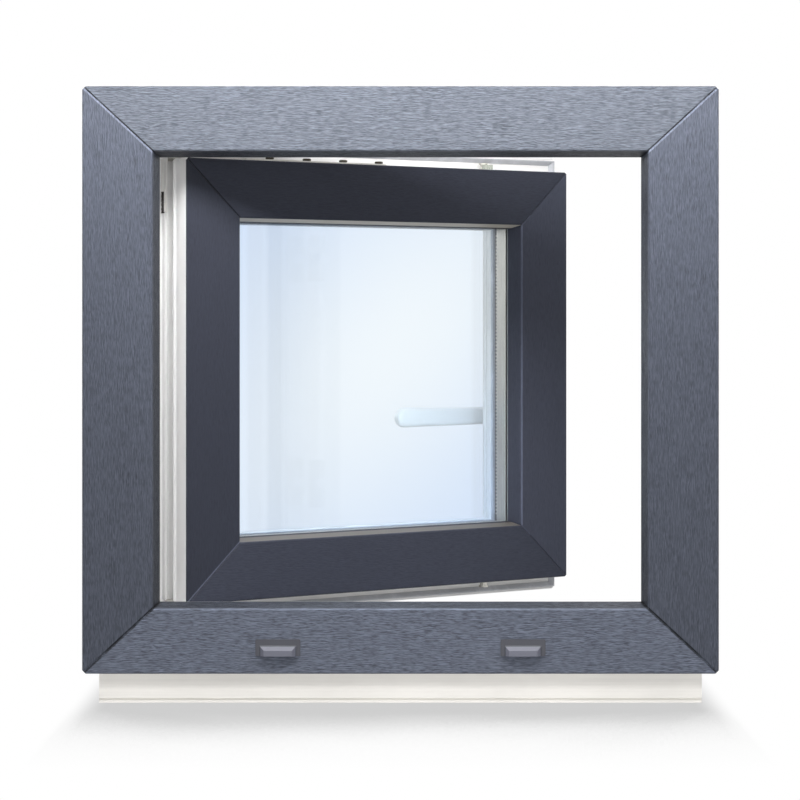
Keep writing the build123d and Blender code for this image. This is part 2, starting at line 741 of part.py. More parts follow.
def outer_glazing_seal_section(plane, share):
    with BuildSketch(plane) as section:
        edge = (SASH_FACE + SASH_REVEAL_TAPER) * share - NOSE_RADIUS
        block(edge - GLAZING_SEAL_HEIGHT, edge, SASH_LIP, glass_front(), mode=Mode.ADD)
    return section.sketch


def inner_glazing_seal_section(plane, share):
    with BuildSketch(plane) as section:
        edge = (GLAZING_REBATE + BEAD_HEIGHT) * share - NOSE_RADIUS
        block(edge - GLAZING_SEAL_HEIGHT, edge, glass_back(), bead_back(), mode=Mode.ADD)
    return section.sketch


ring(SASH_PLACE, SASH_WIDTH, SASH_HEIGHT, outer_glazing_seal_section, "outer_glazing_seal")
ring(SASH_PLACE, SASH_WIDTH, SASH_HEIGHT, inner_glazing_seal_section, "inner_glazing_seal")

# Glazing beads, mitred like the sash that they clip into
for label, outward in (
    ("bead_top", TOP),
    ("bead_bottom", BOTTOM),
    ("bead_hinge_side", HINGE_SIDE),
    ("bead_lock_side", LOCK_SIDE),
):
    write(mitred_bar(SASH_PLACE, outward, SASH_WIDTH, SASH_HEIGHT, bead_section), label)

# Where the sash locks: the name of each point, its side and its place along that side
lock_side_cam = SASH_HEIGHT / 2 - CAM_FROM_CORNER
rail_cam = SASH_WIDTH / 2 - CAM_FROM_CORNER
LOCKING_POINTS = (
    ("upper", LOCK_SIDE, lock_side_cam),
    ("lower", LOCK_SIDE, -lock_side_cam),
    ("head", TOP, rail_cam),
    ("sill", BOTTOM, rail_cam),
)


def cam_plane(outward, along):
    """On the sash's edge, at the hardware groove's centre line, looking outwards."""
    reach = (SASH_WIDTH if outward.X else SASH_HEIGHT) / 2
    run = TOP if outward.X else LOCK_SIDE
    origin = outward * reach + INTO_ROOM * HARDWARE_Y + run * along
    return placed(SASH_PLACE, origin, INTO_ROOM, outward)


def strike_plane(outward, along):
    """On the frame's rebate floor, under the same cam with the sash closed."""
    floor = FRAME_REBATE * side_share(outward)
    reach = (FRAME_WIDTH if outward.X else FRAME_HEIGHT) / 2 - floor
    run = TOP if outward.X else LOCK_SIDE
    origin = outward * reach + INTO_ROOM * (SASH_SETBACK + HARDWARE_Y) + run * along
    return placed(HUNG_PLACE if outward.X else FRAME_PLACE, origin, INTO_ROOM, -outward)


# Faceplates of the locking gear, flush in the groove round the sash
for label, outward in (
    ("faceplate_top", TOP),
    ("faceplate_bottom", BOTTOM),
    ("faceplate_lock_side", LOCK_SIDE),
):
    plane = side_plane(SASH_PLACE, outward, SASH_WIDTH, SASH_HEIGHT)
    length = side_length(outward, SASH_WIDTH, SASH_HEIGHT)
    with BuildPart() as faceplate:
        with BuildSketch(plane):
            block(
                0, FACEPLATE_THICKNESS,
                HARDWARE_Y - FACEPLATE_WIDTH / 2, HARDWARE_Y + FACEPLATE_WIDTH / 2,
                mode=Mode.ADD,
            )
        extrude(amount=length / 2, both=True)
        mitre(plane, length, mitre_slope(outward))
        for name, side, along in LOCKING_POINTS:
            if side == outward:
                with BuildSketch(cam_plane(outward, along)):
                    SlotOverall(
                        CAM_TRACK_LENGTH, 2 * (CAM_RADIUS + CAM_TRACK_CLEARANCE), rotation=90
                    )
                extrude(amount=-CAM_TRACK_DEPTH, mode=Mode.SUBTRACT)
    write(faceplate.part, label)

for name, outward, along in LOCKING_POINTS:
    with BuildPart() as cam:
        with BuildSketch(cam_plane(outward, along).offset(-CAM_TRACK_DEPTH)):
            Circle(CAM_RADIUS)
        extrude(amount=CAM_TRACK_DEPTH + CAM_HEIGHT)
        with BuildSketch(cam_plane(outward, along).offset(CAM_HEIGHT - CAM_HEAD_THICKNESS)):
            Circle(CAM_HEAD_RADIUS)
        extrude(amount=CAM_HEAD_THICKNESS)
    write(cam.part, f"locking_cam_{name}")
    with BuildPart() as strike:
        with BuildSketch(strike_plane(outward, along)):
            RectangleRounded(STRIKE_WIDTH, STRIKE_LENGTH, EDGE_RADIUS)
            block(
                STRIKE_WIDTH / 2 - STRIKE_SLOT_DEPTH, STRIKE_WIDTH / 2,
                -STRIKE_SLOT_WIDTH / 2, STRIKE_SLOT_WIDTH / 2,
            )
        extrude(amount=STRIKE_THICKNESS)
    write(strike.part, f"strike_plate_{name}")

# Hinges: a bearing on the frame's room face and a barrel with its leaf on the sash
AXIS_FRAME = Vector(HINGE_X, SASH_SETBACK + HINGE_Y, 0)
AXIS_SASH = Vector(HINGE_X, HINGE_Y, 0)
BEARING_FLOOR = -SASH_HEIGHT / 2 - SASH_LAP


def hinge_bearing(low, height, plate_low, label):
    """Plate on the frame's room face, an arm to the axis and a knuckle round the pin."""
    plate_edge = HINGE_X + KNUCKLE_RADIUS
    with BuildPart() as bearing:
        plate = placed(
            HUNG_PLACE,
            (plate_edge - HINGE_PLATE_WIDTH / 2, FRAME_DEPTH, plate_low + HINGE_PLATE_HEIGHT / 2),
            HINGE_SIDE,
            INTO_ROOM,
        )
        with BuildSketch(plate):
            RectangleRounded(HINGE_PLATE_WIDTH, HINGE_PLATE_HEIGHT, EDGE_RADIUS)
        extrude(amount=HINGE_PLATE)
        with BuildSketch(placed(HUNG_PLACE, (0, 0, low), LOCK_SIDE, TOP)):
            block(
                HINGE_X - PIN_RADIUS, HINGE_X + PIN_RADIUS,
                FRAME_DEPTH, AXIS_FRAME.Y,
                mode=Mode.ADD,
            )
            with Locations((HINGE_X, AXIS_FRAME.Y)):
                Circle(KNUCKLE_RADIUS)
                Circle(PIN_RADIUS, mode=Mode.SUBTRACT)
        extrude(amount=height)
    write(bearing.part, label)


def hinge_barrel(low, height, label):
    """Barrel round the axis with a leaf that lies on the sash's room face."""
    with BuildPart() as barrel:
        with BuildSketch(placed(SASH_PLACE, (0, 0, low), LOCK_SIDE, TOP)):
            with Locations((HINGE_X, HINGE_Y)):
                Circle(KNUCKLE_RADIUS)
            block(
                HINGE_X, HINGE_X + HINGE_OFFSET + LEAF_WIDTH,
                SASH_DEPTH, SASH_DEPTH + LEAF_THICKNESS,
                mode=Mode.ADD,
            )
            with Locations((HINGE_X, HINGE_Y)):
                Circle(PIN_RADIUS + PIN_CLEARANCE, mode=Mode.SUBTRACT)
        extrude(amount=height)
    write(barrel.part, label)


def hinge_pin(low, height, label):
    with BuildPart() as pin:
        with BuildSketch(placed(HUNG_PLACE, AXIS_FRAME + TOP * low, LOCK_SIDE, TOP)):
            Circle(PIN_RADIUS)
        extrude(amount=height)
    write(pin.part, label)


lower_barrel = BEARING_FLOOR + BEARING_HEIGHT + KNUCKLE_GAP
hinge_bearing(BEARING_FLOOR, BEARING_HEIGHT, BEARING_FLOOR - BEARING_HEIGHT, "lower_hinge_bearing")
hinge_barrel(lower_barrel, BARREL_HEIGHT, "lower_hinge_barrel")
hinge_pin(BEARING_FLOOR, BEARING_HEIGHT + KNUCKLE_GAP + BARREL_HEIGHT, "lower_hinge_pin")

upper_bearing = -BEARING_FLOOR - BEARING_HEIGHT
upper_barrel = upper_bearing - KNUCKLE_GAP - BARREL_HEIGHT
hinge_bearing(
    upper_bearing, BEARING_HEIGHT,
    -BEARING_FLOOR + BEARING_HEIGHT - HINGE_PLATE_HEIGHT, "upper_hinge_bearing",
)
hinge_barrel(upper_barrel, BARREL_HEIGHT, "upper_hinge_barrel")
hinge_pin(upper_barrel, BEARING_HEIGHT + KNUCKLE_GAP + BARREL_HEIGHT, "upper_hinge_pin")

# Stay arm along the sash's top edge, as it lies with the sash swung open
with BuildPart() as stay_arm:
    arm_low = -SASH_WIDTH / 2
    arm_origin = Vector(arm_low + STAY_LENGTH / 2, HARDWARE_Y, SASH_HEIGHT / 2)
    with BuildSketch(placed(SASH_PLACE, arm_origin, LOCK_SIDE, TOP)):
        SlotOverall(STAY_LENGTH, STAY_WIDTH)
        for index in range(STAY_HOLES):
            with Locations(
                (STAY_LENGTH / 2 - STAY_HOLE_FROM_END - index * STAY_HOLE_PITCH, 0)
            ):
                Circle(STAY_HOLE_RADIUS, mode=Mode.SUBTRACT)
    extrude(amount=STAY_THICKNESS)
write(stay_arm.part, "stay_arm")

# Strap of the upper hinge, on the hinge stile's edge beside the lap: two legs and a bridge
with BuildPart() as upper_hinge_strap:
    strap_reach = 2 * STRAP_WIDTH + STRAP_GAP
    with BuildSketch(strap_plane()):
        block(STRAP_WIDTH + STRAP_GAP, strap_reach, -STRAP_LENGTH, 0, mode=Mode.ADD)
        block(0, STRAP_WIDTH, -STRAP_SHORT_LENGTH, 0, mode=Mode.ADD)
        block(0, strap_reach, -STRAP_WIDTH, 0, mode=Mode.ADD)
    extrude(amount=STRAP_THICKNESS)
write(upper_hinge_strap.part, "upper_hinge_strap")

# Handle: a rosette on the lock stile and a lever turned level
HANDLE_AXIS = Vector(SASH_WIDTH / 2 - HANDLE_BACKSET, SASH_DEPTH, -HANDLE_DROP)
HANDLE_FRONT = placed(SASH_PLACE, HANDLE_AXIS, LOCK_SIDE, INTO_ROOM)
with BuildPart() as handle_rosette:
    with BuildSketch(HANDLE_FRONT):
        RectangleRounded(ROSETTE_WIDTH, ROSETTE_HEIGHT, ROSETTE_CORNER)
    extrude(amount=ROSETTE_THICKNESS)
    room_face = faces().sort_by(Axis(HANDLE_FRONT.origin, HANDLE_FRONT.z_dir))[-1]
    fillet(room_face.edges(), ROSETTE_EDGE)
write(handle_rosette.part, "handle_rosette")

# The lever's shape seen from above, kept where it lies inside its shape seen from the room
with BuildPart() as handle_lever:
    grip_back = GRIP_OFFSET - GRIP_THICKNESS / 2
    grip_top = GRIP_OFFSET + GRIP_THICKNESS / 2
    with BuildSketch(placed(SASH_PLACE, HANDLE_AXIS, LOCK_SIDE, TOP)):
        block(-NECK_RADIUS, NECK_RADIUS, ROSETTE_THICKNESS, grip_top, mode=Mode.ADD)
        block(-GRIP_LENGTH, NECK_RADIUS, grip_back, grip_top, mode=Mode.ADD)
        bend = vertices().group_by(Axis.Y)[-1].sort_by(Axis.X)[-1]
        inner_bend = vertices().group_by(Axis.Y)[1].sort_by(Axis.X)[-1]
        fillet(bend, NECK_BEND)
        fillet(inner_bend, NECK_BEND / 2)
    extrude(amount=GRIP_TIP / 2, both=True)
    with BuildSketch(HANDLE_FRONT):
        Circle(GRIP_WAIST / 2)
        with Locations((GRIP_TIP / 2 - GRIP_LENGTH, 0)):
            Circle(GRIP_TIP / 2)
        make_hull()
    extrude(amount=grip_top, mode=Mode.INTERSECT)
    seat = edges().group_by(Axis(HANDLE_FRONT.origin, HANDLE_FRONT.z_dir))[0]
    fillet(edges() - seat, GRIP_EDGE)
write(handle_lever.part, "handle_lever")
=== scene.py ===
"""Basement window with its sash swung into the room: finishes, small parts, light and camera."""

import logging
import math
from dataclasses import dataclass, field, replace
from enum import Enum
from functools import partialmethod
from typing import Any, Mapping, Optional, Sequence, Union

import bmesh
import bpy
import numpy as np
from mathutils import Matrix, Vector

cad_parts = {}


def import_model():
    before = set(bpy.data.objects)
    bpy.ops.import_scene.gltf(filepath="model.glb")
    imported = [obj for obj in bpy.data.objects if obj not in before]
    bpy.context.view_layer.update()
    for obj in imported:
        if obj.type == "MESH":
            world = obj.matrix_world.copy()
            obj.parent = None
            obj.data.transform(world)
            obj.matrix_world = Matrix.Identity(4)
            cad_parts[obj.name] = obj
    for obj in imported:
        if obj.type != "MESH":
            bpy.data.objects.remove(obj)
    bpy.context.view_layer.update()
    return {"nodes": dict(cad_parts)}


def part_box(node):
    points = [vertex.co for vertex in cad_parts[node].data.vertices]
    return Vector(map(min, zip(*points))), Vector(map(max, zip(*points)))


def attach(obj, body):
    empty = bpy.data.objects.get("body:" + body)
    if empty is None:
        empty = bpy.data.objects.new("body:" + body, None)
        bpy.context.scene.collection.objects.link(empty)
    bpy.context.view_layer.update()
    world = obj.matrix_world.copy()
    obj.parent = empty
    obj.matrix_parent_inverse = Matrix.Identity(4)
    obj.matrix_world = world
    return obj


LOG = logging.getLogger("basement_window")
BODY = "root"
MERGE = 1e-6
MM = 0.001
PLASTIC_IOR = 1.5
GLASS_IOR = 1.5

Colour = tuple[float, float, float]
Point = tuple[float, float, float]
Span = tuple[float, float]
Value = Union["Term", float, Sequence[float]]

WHITE: Colour = (1.0, 1.0, 1.0)
FRAME_FRONT: Point = (0.0, 0.0, 0.45)
WINDOW_MIDDLE: Point = (0.0, 0.0, 0.33)
SASH_MIDDLE: Point = (0.1, 0.2, 0.33)
UP = np.array([0.0, 0.0, 1.0])
ACROSS = np.array([1.0, 0.0, 0.0])
ROOM = np.array([0.0, 1.0, 0.0])


def srgb(red: int, green: int, blue: int) -> Colour:
    """Turn a colour as a screen shows it into the linear values that shaders take.

    Args:
        red: Red, 0 to 255.
        green: Green.
        blue: Blue.

    Returns:
        The linear colour.
    """

    def linear(level: float) -> float:
        """One channel: a straight stretch near black, then a power of 2.4."""
        share = level / 255
        return share / 12.92 if share <= 0.04045 else ((share + 0.055) / 1.055) ** 2.4

    return (linear(red), linear(green), linear(blue))


def shaded(tone: Colour, factor: float) -> Colour:
    """Multiply a colour by a number."""
    red, green, blue = tone
    return (factor * red, factor * green, factor * blue)


class Direction(Enum):
    """Which way a bar runs, and with it its grain and die lines."""

    LEVEL = "level"
    UPRIGHT = "upright"

    def stretch(self, along: float, across: float) -> Point:
        """Give the scale that makes a dash measure 1 each way.

        Args:
            along: The dash's length along the bar.
            across: Its width.

        Returns:
            Factors across, in depth and upwards.
        """
        if self is Direction.LEVEL:
            return (1 / along, 1 / across, 1 / across)
        return (1 / across, 1 / across, 1 / along)


@dataclass(frozen=True)
class Place:
    """Where an assembly stands: its own axes are x across, depth from its outside face, and z up.

    Attributes:
        half_width: Half of its width between outer edges.
        half_height: Half of its height.
        pivot: A point in the row frame.
        pivot_inside: The same point in the assembly's own axes.
        angle: How far the assembly is turned about the pivot, in radians.
    """

    half_width: float
    half_height: float
    pivot: Point
    pivot_inside: Point
    angle: float

    def to_row(self, points: np.ndarray) -> np.ndarray:
        """Turn points in the assembly's axes about the pivot and move them to the row frame.

        Args:
            points: Array of shape (..., 3).

        Returns:
            Array of the same shape.
        """
        cosine, sine = math.cos(self.angle), math.sin(self.angle)
        turn = np.array([[cosine, -sine, 0], [sine, cosine, 0], [0, 0, 1]])
        return (points - np.array(self.pivot_inside)) @ turn.T + np.array(self.pivot)

    def heading(self, direction: np.ndarray) -> np.ndarray:
        """Turn a direction in the assembly's axes to the row frame."""
        return self.to_row(direction) - self.to_row(np.zeros(3))

    def mapping(self) -> tuple[Point, Point]:
        """Work out what a Mapping node needs to go from the row frame to here.

        Returns:
            The offset and the turn.
        """
        cosine, sine = math.cos(self.angle), math.sin(self.angle)
        x, y, z = self.pivot
        offset = (
            self.pivot_inside[0] - (cosine * x + sine * y),
            self.pivot_inside[1] - (cosine * y - sine * x),
            self.pivot_inside[2] - z,
        )
        return offset, (0.0, 0.0, -self.angle)


@dataclass(frozen=True)
class Sizes:
    """Sizes that the finishes and small parts share, in metres.

    Attributes:
        frame_foil_depth: How deep the foil wraps round the frame's lip.
        foil_edge: How far the foil wraps round an outer edge.
        cap_plate: How far a drain cap's plate stands out of the frame's outside face.
        sash_depth: The sash, outside face to room face.
        sash_foil_depth: How deep the foil wraps round the sash's lip.
        bare_lip: Where a sash rail's lip shows bare plastic beside the glass, by depth.
        sash_width: The sash between its outer edges, without the lap.
        sash_height: The same upwards.
        lip_start: Distance from a level outer edge past which only the lip is met.
        upright_share: How much wider than the level bars the upright ones are.
        hinge_inset: From the sash's room face to the hinge axis.
        open_angle: How far the sash is swung, in degrees.
        spacer_front: From the sash's outside face to the spacer.
        spacer_width: The spacer between the panes.
        pane_half_width: Half of the width of glass that shows.
        pane_half_height: Half of its height.
    """

    frame_foil_depth: float = 0.0216
    foil_edge: float = 0.0012
    cap_plate: float = 0.0022
    sash_depth: float = 0.070
    sash_foil_depth: float = 0.0202
    bare_lip: Span = (0.0016, 0.0145)
    sash_width: float = 0.516
    sash_height: float = 0.466
    lip_start: float = 0.050
    upright_share: float = 1.083
    hinge_inset: float = 0.002
    open_angle: float = 36.5
    spacer_front: float = 0.027
    spacer_width: float = 0.020
    pane_half_width: float = 0.187
    pane_half_height: float = 0.164

    def frame_place(self) -> Place:
        """Read the outer frame's place from its four bars.

        Returns:
            The place.
        """
        low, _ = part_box("frame_left_jamb")
        _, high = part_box("frame_right_jamb")
        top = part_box("frame_head")[1].z
        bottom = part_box("frame_sill")[0].z
        return Place(
            half_width=(high.x - low.x) / 2,
            half_height=(top - bottom) / 2,
            pivot=(0.0, low.y, (top + bottom) / 2),
            pivot_inside=(0.0, 0.0, 0.0),
            angle=0.0,
        )

    def sash_place(self) -> Place:
        """Read the sash's place from the hinge pins' axis.

        Returns:
            The place.
        """
        low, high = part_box("lower_hinge_pin")
        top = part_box("upper_hinge_pin")[1].z
        axis = (low + high) / 2
        return Place(
            half_width=self.sash_width / 2,
            half_height=self.sash_height / 2,
            pivot=(axis.x, axis.y, (low.z + top) / 2),
            pivot_inside=(axis.x, self.sash_depth - self.hinge_inset, 0.0),
            angle=math.radians(self.open_angle),
        )


class Term:
    """A node's output that adds a Math node for each operator used on it.

    A comparison gives 1 where it holds, else 0; least and most are the smaller and the larger
    of two values, and root is the square root.
    """

    def __init__(self, graph: "Graph", socket: bpy.types.NodeSocket) -> None:
        """Wrap an output socket of the graph."""
        self.graph = graph
        self.socket = socket

    def math(self, operation: str, *others: Value) -> "Term":
        """Add a Math node of this operation on this and the other values."""
        values = dict(enumerate((self, *others)))
        return self.graph.term(self.graph.node("ShaderNodeMath", {"operation": operation}, values))

    def math_after(self, operation: str, first: float) -> "Term":
        """Add a Math node of this operation on a number and then this."""
        values = {0: first, 1: self}
        return self.graph.term(self.graph.node("ShaderNodeMath", {"operation": operation}, values))

    __add__ = partialmethod(math, "ADD")
    __radd__ = partialmethod(math_after, "ADD")
    __sub__ = partialmethod(math, "SUBTRACT")
    __rsub__ = partialmethod(math_after, "SUBTRACT")
    __mul__ = partialmethod(math, "MULTIPLY")
    __rmul__ = partialmethod(math_after, "MULTIPLY")
    __truediv__ = partialmethod(math, "DIVIDE")
    __lt__ = partialmethod(math, "LESS_THAN")
    __gt__ = partialmethod(math, "GREATER_THAN")
    __abs__ = partialmethod(math, "ABSOLUTE")
    least = partialmethod(math, "MINIMUM")
    most = partialmethod(math, "MAXIMUM")
    root = partialmethod(math, "SQRT")

    def rest_of(self, step: float) -> "Term":
        """Distance past the last whole step, measured from the step's middle."""
        return abs((self / step).math("FRACT") - 0.5) * step

    def smooth(self, low: float, high: float) -> "Term":
        """Go from 0 to 1 along an S curve.

        Args:
            low: Value up to which it is 0.
            high: Value from which it is 1.

        Returns:
            The curve's value.
        """
        made = self.graph.node(
            "ShaderNodeMapRange",
            {"interpolation_type": "SMOOTHSTEP"},
            {"Value": self, "From Min": low, "From Max": high},
        )
        return Term(self.graph, made.outputs[0])

    def spread(self) -> "Term":
        """Stretch a noise, most of which lies near 0.5, so that it fills 0 to 1."""
        return self.smooth(0.3, 0.7)


class Graph:
    """The node tree of a material or of the world."""

    def __init__(self, owner: Union[bpy.types.Material, bpy.types.World], output: str) -> None:
        """Empty the owner's tree and add its output node.

        Args:
            owner: The material or world.
            output: The output node's type.
        """
        owner.use_nodes = True
        self.owner = owner
        self.tree = owner.node_tree
        self.tree.nodes.clear()
        self.output = self.node(output)

    @classmethod
    def of_material(cls, name: str) -> "Graph":
        """Start a new material."""
        return cls(bpy.data.materials.new(name), "ShaderNodeOutputMaterial")

    def node(
        self,
        kind: str,
        settings: Optional[Mapping[str, Any]] = None,
        inputs: Optional[Mapping[Union[str, int], Value]] = None,
    ) -> bpy.types.Node:
        """Add a node.

        Args:
            kind: The node's type.
            settings: Its properties, set first.
            inputs: Values or terms for its sockets, by name or number.

        Returns:
            The node.
        """
        made = self.tree.nodes.new(kind)
        for key, setting in (settings or {}).items():
            setattr(made, key, setting)
        for key, value in (inputs or {}).items():
            if isinstance(value, Term):
                self.tree.links.new(value.socket, made.inputs[key])
            else:
                made.inputs[key].default_value = value
        return made

    def term(self, made: bpy.types.Node, name: Union[str, int] = 0) -> Term:
        """Wrap one of a node's outputs."""
        return Term(self, made.outputs[name])

    def row(self) -> Term:
        """Coordinates in the row frame, in which every piece stands at its place."""
        return self.term(self.node("ShaderNodeTexCoord"), "Object")

    def inside(self, place: Place) -> Term:
        """Turn the row frame's coordinates into an assembly's own.

        Args:
            place: Where the assembly stands.

        Returns:
            The coordinates.
        """
        offset, turn = place.mapping()
        made = self.node(
            "ShaderNodeMapping", None, {"Vector": self.row(), "Location": offset, "Rotation": turn}
        )
        return self.term(made)

    def split(self, vector: Term) -> tuple[Term, Term, Term]:
        """Take a vector's three numbers apart."""
        made = self.node("ShaderNodeSeparateXYZ", None, {0: vector})
        return self.term(made, 0), self.term(made, 1), self.term(made, 2)

    def vector(self, operation: str, **inputs: Value) -> Term:
        """Add a Vector Math node.

        Args:
            operation: Its operation.
            inputs: Values or terms for its sockets, named a, b, c and Scale.

        Returns:
            Its output.
        """
        numbers = {"a": 0, "b": 1, "c": 2}
        named = {numbers.get(key, key): value for key, value in inputs.items()}
        return self.term(self.node("ShaderNodeVectorMath", {"operation": operation}, named))

    def noise(self, vector: Term, scale: float, detail: float = 2.0, rough: float = 0.5) -> Term:
        """Add smooth noise about 0.5.

        Args:
            vector: Its coordinates.
            scale: Changes in a unit of length.
            detail: How many finer layers are added.
            rough: How strong each is beside the one before.

        Returns:
            The noise.
        """
        made = self.node(
            "ShaderNodeTexNoise",
            None,
            {"Vector": vector, "Scale": scale, "Detail": detail, "Roughness": rough},
        )
        return self.term(made, 0)

    def streaks(
        self, vector: Term, stretch: Point, detail: float = 2.0, rough: float = 0.5
    ) -> Term:
        """Noise over a vector that is multiplied by three numbers first."""
        return self.noise(self.vector("MULTIPLY", a=vector, b=stretch), 1.0, detail, rough)

    def blend(self, factor: Value, first: Value, second: Value) -> Term:
        """Mix two colours.

        Args:
            factor: The second colour's share.
            first: The first colour, or a term.
            second: The second colour, or a term.

        Returns:
            The mixed colour.
        """
        made = self.node(
            "ShaderNodeMix",
            {"data_type": "RGBA"},
            {
                0: factor,
                6: first if isinstance(first, Term) else (*first, 1.0),
                7: second if isinstance(second, Term) else (*second, 1.0),
            },
        )
        return self.term(made, 2)

    def bump(self, height: Term, distance: float) -> Term:
        """Turn a height into a bent normal.

        Args:
            height: The height, as a share of the distance.
            distance: How far 1 stands out, in metres.

        Returns:
            The normal.
        """
        made = self.node(
            "ShaderNodeBump", None, {"Height": height, "Distance": distance, "Strength": 1.0}
        )
        return self.term(made)

    def seen(self) -> Term:
        """Tell what the camera sees, directly, in gloss or through glass, from light.

        Returns:
            1 for what is seen, 0 for light.
        """
        path = self.node("ShaderNodeLightPath")
        return (
            self.term(path, "Is Camera Ray")
            .most(self.term(path, "Is Glossy Ray"))
            .most(self.term(path, "Is Transmission Ray"))
        )

    def principled(self, **inputs: Value) -> Term:
        """Add the main shader.

        Args:
            inputs: Values or terms for its sockets, by name, with _ for a space.

        Returns:
            The shader.
        """
        named = {}
        for key, value in inputs.items():
            colour = not isinstance(value, Term) and hasattr(value, "__len__")
            named[key.replace("_", " ")] = (*value, 1.0) if colour else value
        return self.term(self.node("ShaderNodeBsdfPrincipled", None, named))

    def plain_shader(self, kind: str, colour: Value) -> Term:
        """Add a shader that takes only a colour."""
        given = colour if isinstance(colour, Term) else (*colour, 1.0)
        return self.term(self.node(kind, None, {"Color": given}))

    def choose(self, factor: Term, first: Term, second: Term) -> Term:
        """Mix two shaders."""
        return self.term(self.node("ShaderNodeMixShader", None, {0: factor, 1: first, 2: second}))

    def finish(self, shader: Term) -> Union[bpy.types.Material, bpy.types.World]:
        """Send a shader to the output and hand over the tree's owner."""
        self.tree.links.new(shader.socket, self.output.inputs["Surface"])
        return self.owner


@dataclass(frozen=True)
class Finish:
    """What a surface is made of; each kind adds its own shader.

    Attributes:
        name: The material's name.
    """

    name: str

    def material(self) -> bpy.types.Material:
        """Build the material."""
        graph = Graph.of_material(self.name)
        return graph.finish(self.shader(graph))

    def shader(self, graph: Graph) -> Term:
        """Add the shader to a material's node tree."""
        raise NotImplementedError


@dataclass(frozen=True)
class Grain:
    """Wood grain pressed into foil.

    It is short dashes along the bar: noise whose coordinates are stretched along it and shifted
    sideways by a slower noise, so that the dashes wave. A second layer of longer, finer dashes
    is mixed in, and a slow noise along the bar makes some stretches rougher than others.

    Attributes:
        dash: Length and width of a short dash.
        depth: How deep a pore is pressed.
        tint: How much the foil's tone changes from pore to ridge.
        sway: How far the dashes wave.
        sway_scale: Waves in a metre.
        longer: How many times as long the second layer's dashes are.
        finer: How many times as wide they are.
        short_share: The first layer's share in the mix.
        pore: Levels of the mix at a pore's bottom and at its rim.
        patch: Length and width of a stretch with its own strength.
        patch_strength: The least strength, and what a patch adds to it at most.
    """

    dash: Span = (0.0078, 0.00088)
    depth: float = 0.00042
    tint: float = 0.80
    sway: float = 0.0018
    sway_scale: float = 80.0
    longer: float = 3.0
    finer: float = 0.8
    short_share: float = 0.58
    pore: Span = (0.33, 0.66)
    patch: Span = (0.04, 0.012)
    patch_strength: Span = (0.4, 1.2)

    def height(self, graph: Graph, inside: Term, direction: Direction) -> Term:
        """Work out the height of the pressed foil.

        Args:
            graph: The foil's node tree.
            inside: Coordinates in the assembly's axes.
            direction: Which way the bar runs.

        Returns:
            The height, 0 in a pore to 1 between pores.
        """
        length, width = self.dash
        sway = graph.noise(inside, self.sway_scale) - 0.5
        waved = graph.vector("MULTIPLY_ADD", a=sway, b=(self.sway,) * 3, c=inside)
        short = graph.streaks(waved, direction.stretch(length, width), 1.0, 0.6)
        long = graph.streaks(
            inside, direction.stretch(self.longer * length, self.finer * width), 1.0
        )
        patches = graph.streaks(inside, direction.stretch(*self.patch), 1.0)
        mixed = short * self.short_share + long * (1 - self.short_share)
        least, gain = self.patch_strength
        return 0.5 + (mixed.smooth(*self.pore) - 0.5) * (least + patches * gain)


@dataclass(frozen=True)
class Seam:
    """Line of colour along the mitres, where the bars are welded: partly painted shade and
    highlight.

    Attributes:
        width: Half of the dark line's width.
        solid: Share of it that is fully dark.
        shade: How dark it is, 0 to 1: the weld's own line and painted shade in its groove.
        breaks: Levels of a noise between which the dark line comes in.
        light: How much brighter than the foil a painted highlight at one end of the bar is.
        lit_width: Half of that bright line's width.
        lit_solid: Share of it that is fully bright.
        lit_end: 1 where it is at an upright bar's upper end, -1 at its lower end.
        fade: On a bar with a bright line, distances from the outer edge between which the dark
            line at the other end comes in.
        scale: Breaks in the dark line in a metre.
    """

    width: float = 0.0018
    solid: float = 0.6
    shade: float = 0.80
    breaks: Span = (0.2, 0.5)
    light: float = 0.0
    lit_width: float = 0.0022
    lit_solid: float = 0.7
    lit_end: float = 1.0
    fade: Span = (0.0105, 0.030)
    scale: float = 60.0

    def factor(self, graph: Graph, inside: Term, side: Term, rise: Term, share: float) -> Term:
        """Give the factor on the foil's colour, which is 1 away from the seams.

        The distance from a mitre is (side - share * rise) / root(1 + share * share).

        Args:
            graph: The foil's node tree.
            inside: Coordinates in the assembly's axes.
            side: Distance from the nearer upright outer edge.
            rise: Distance from the nearer level outer edge.
            share: How much wider the upright bars are than the level ones.

        Returns:
            The factor.
        """
        off = abs(side - rise * share) / math.hypot(1.0, share)
        drawn = graph.streaks(inside, (self.scale,) * 3)
        dark = (1.0 - off.smooth(self.width * self.solid, self.width)) * (
            self.shade * drawn.smooth(*self.breaks)
        )
        if not self.light:
            return 1.0 - dark
        # A painted highlight at one end of the bar, the dark line with painted shade at the other.
        _, _, z = graph.split(inside)
        at_end = (z * self.lit_end) > 0.0
        lit = 1.0 - off.smooth(self.lit_width * self.lit_solid, self.lit_width)
        fading = side.smooth(*self.fade)
        return 1.0 + lit * at_end * self.light - dark * (1.0 - at_end) * fading


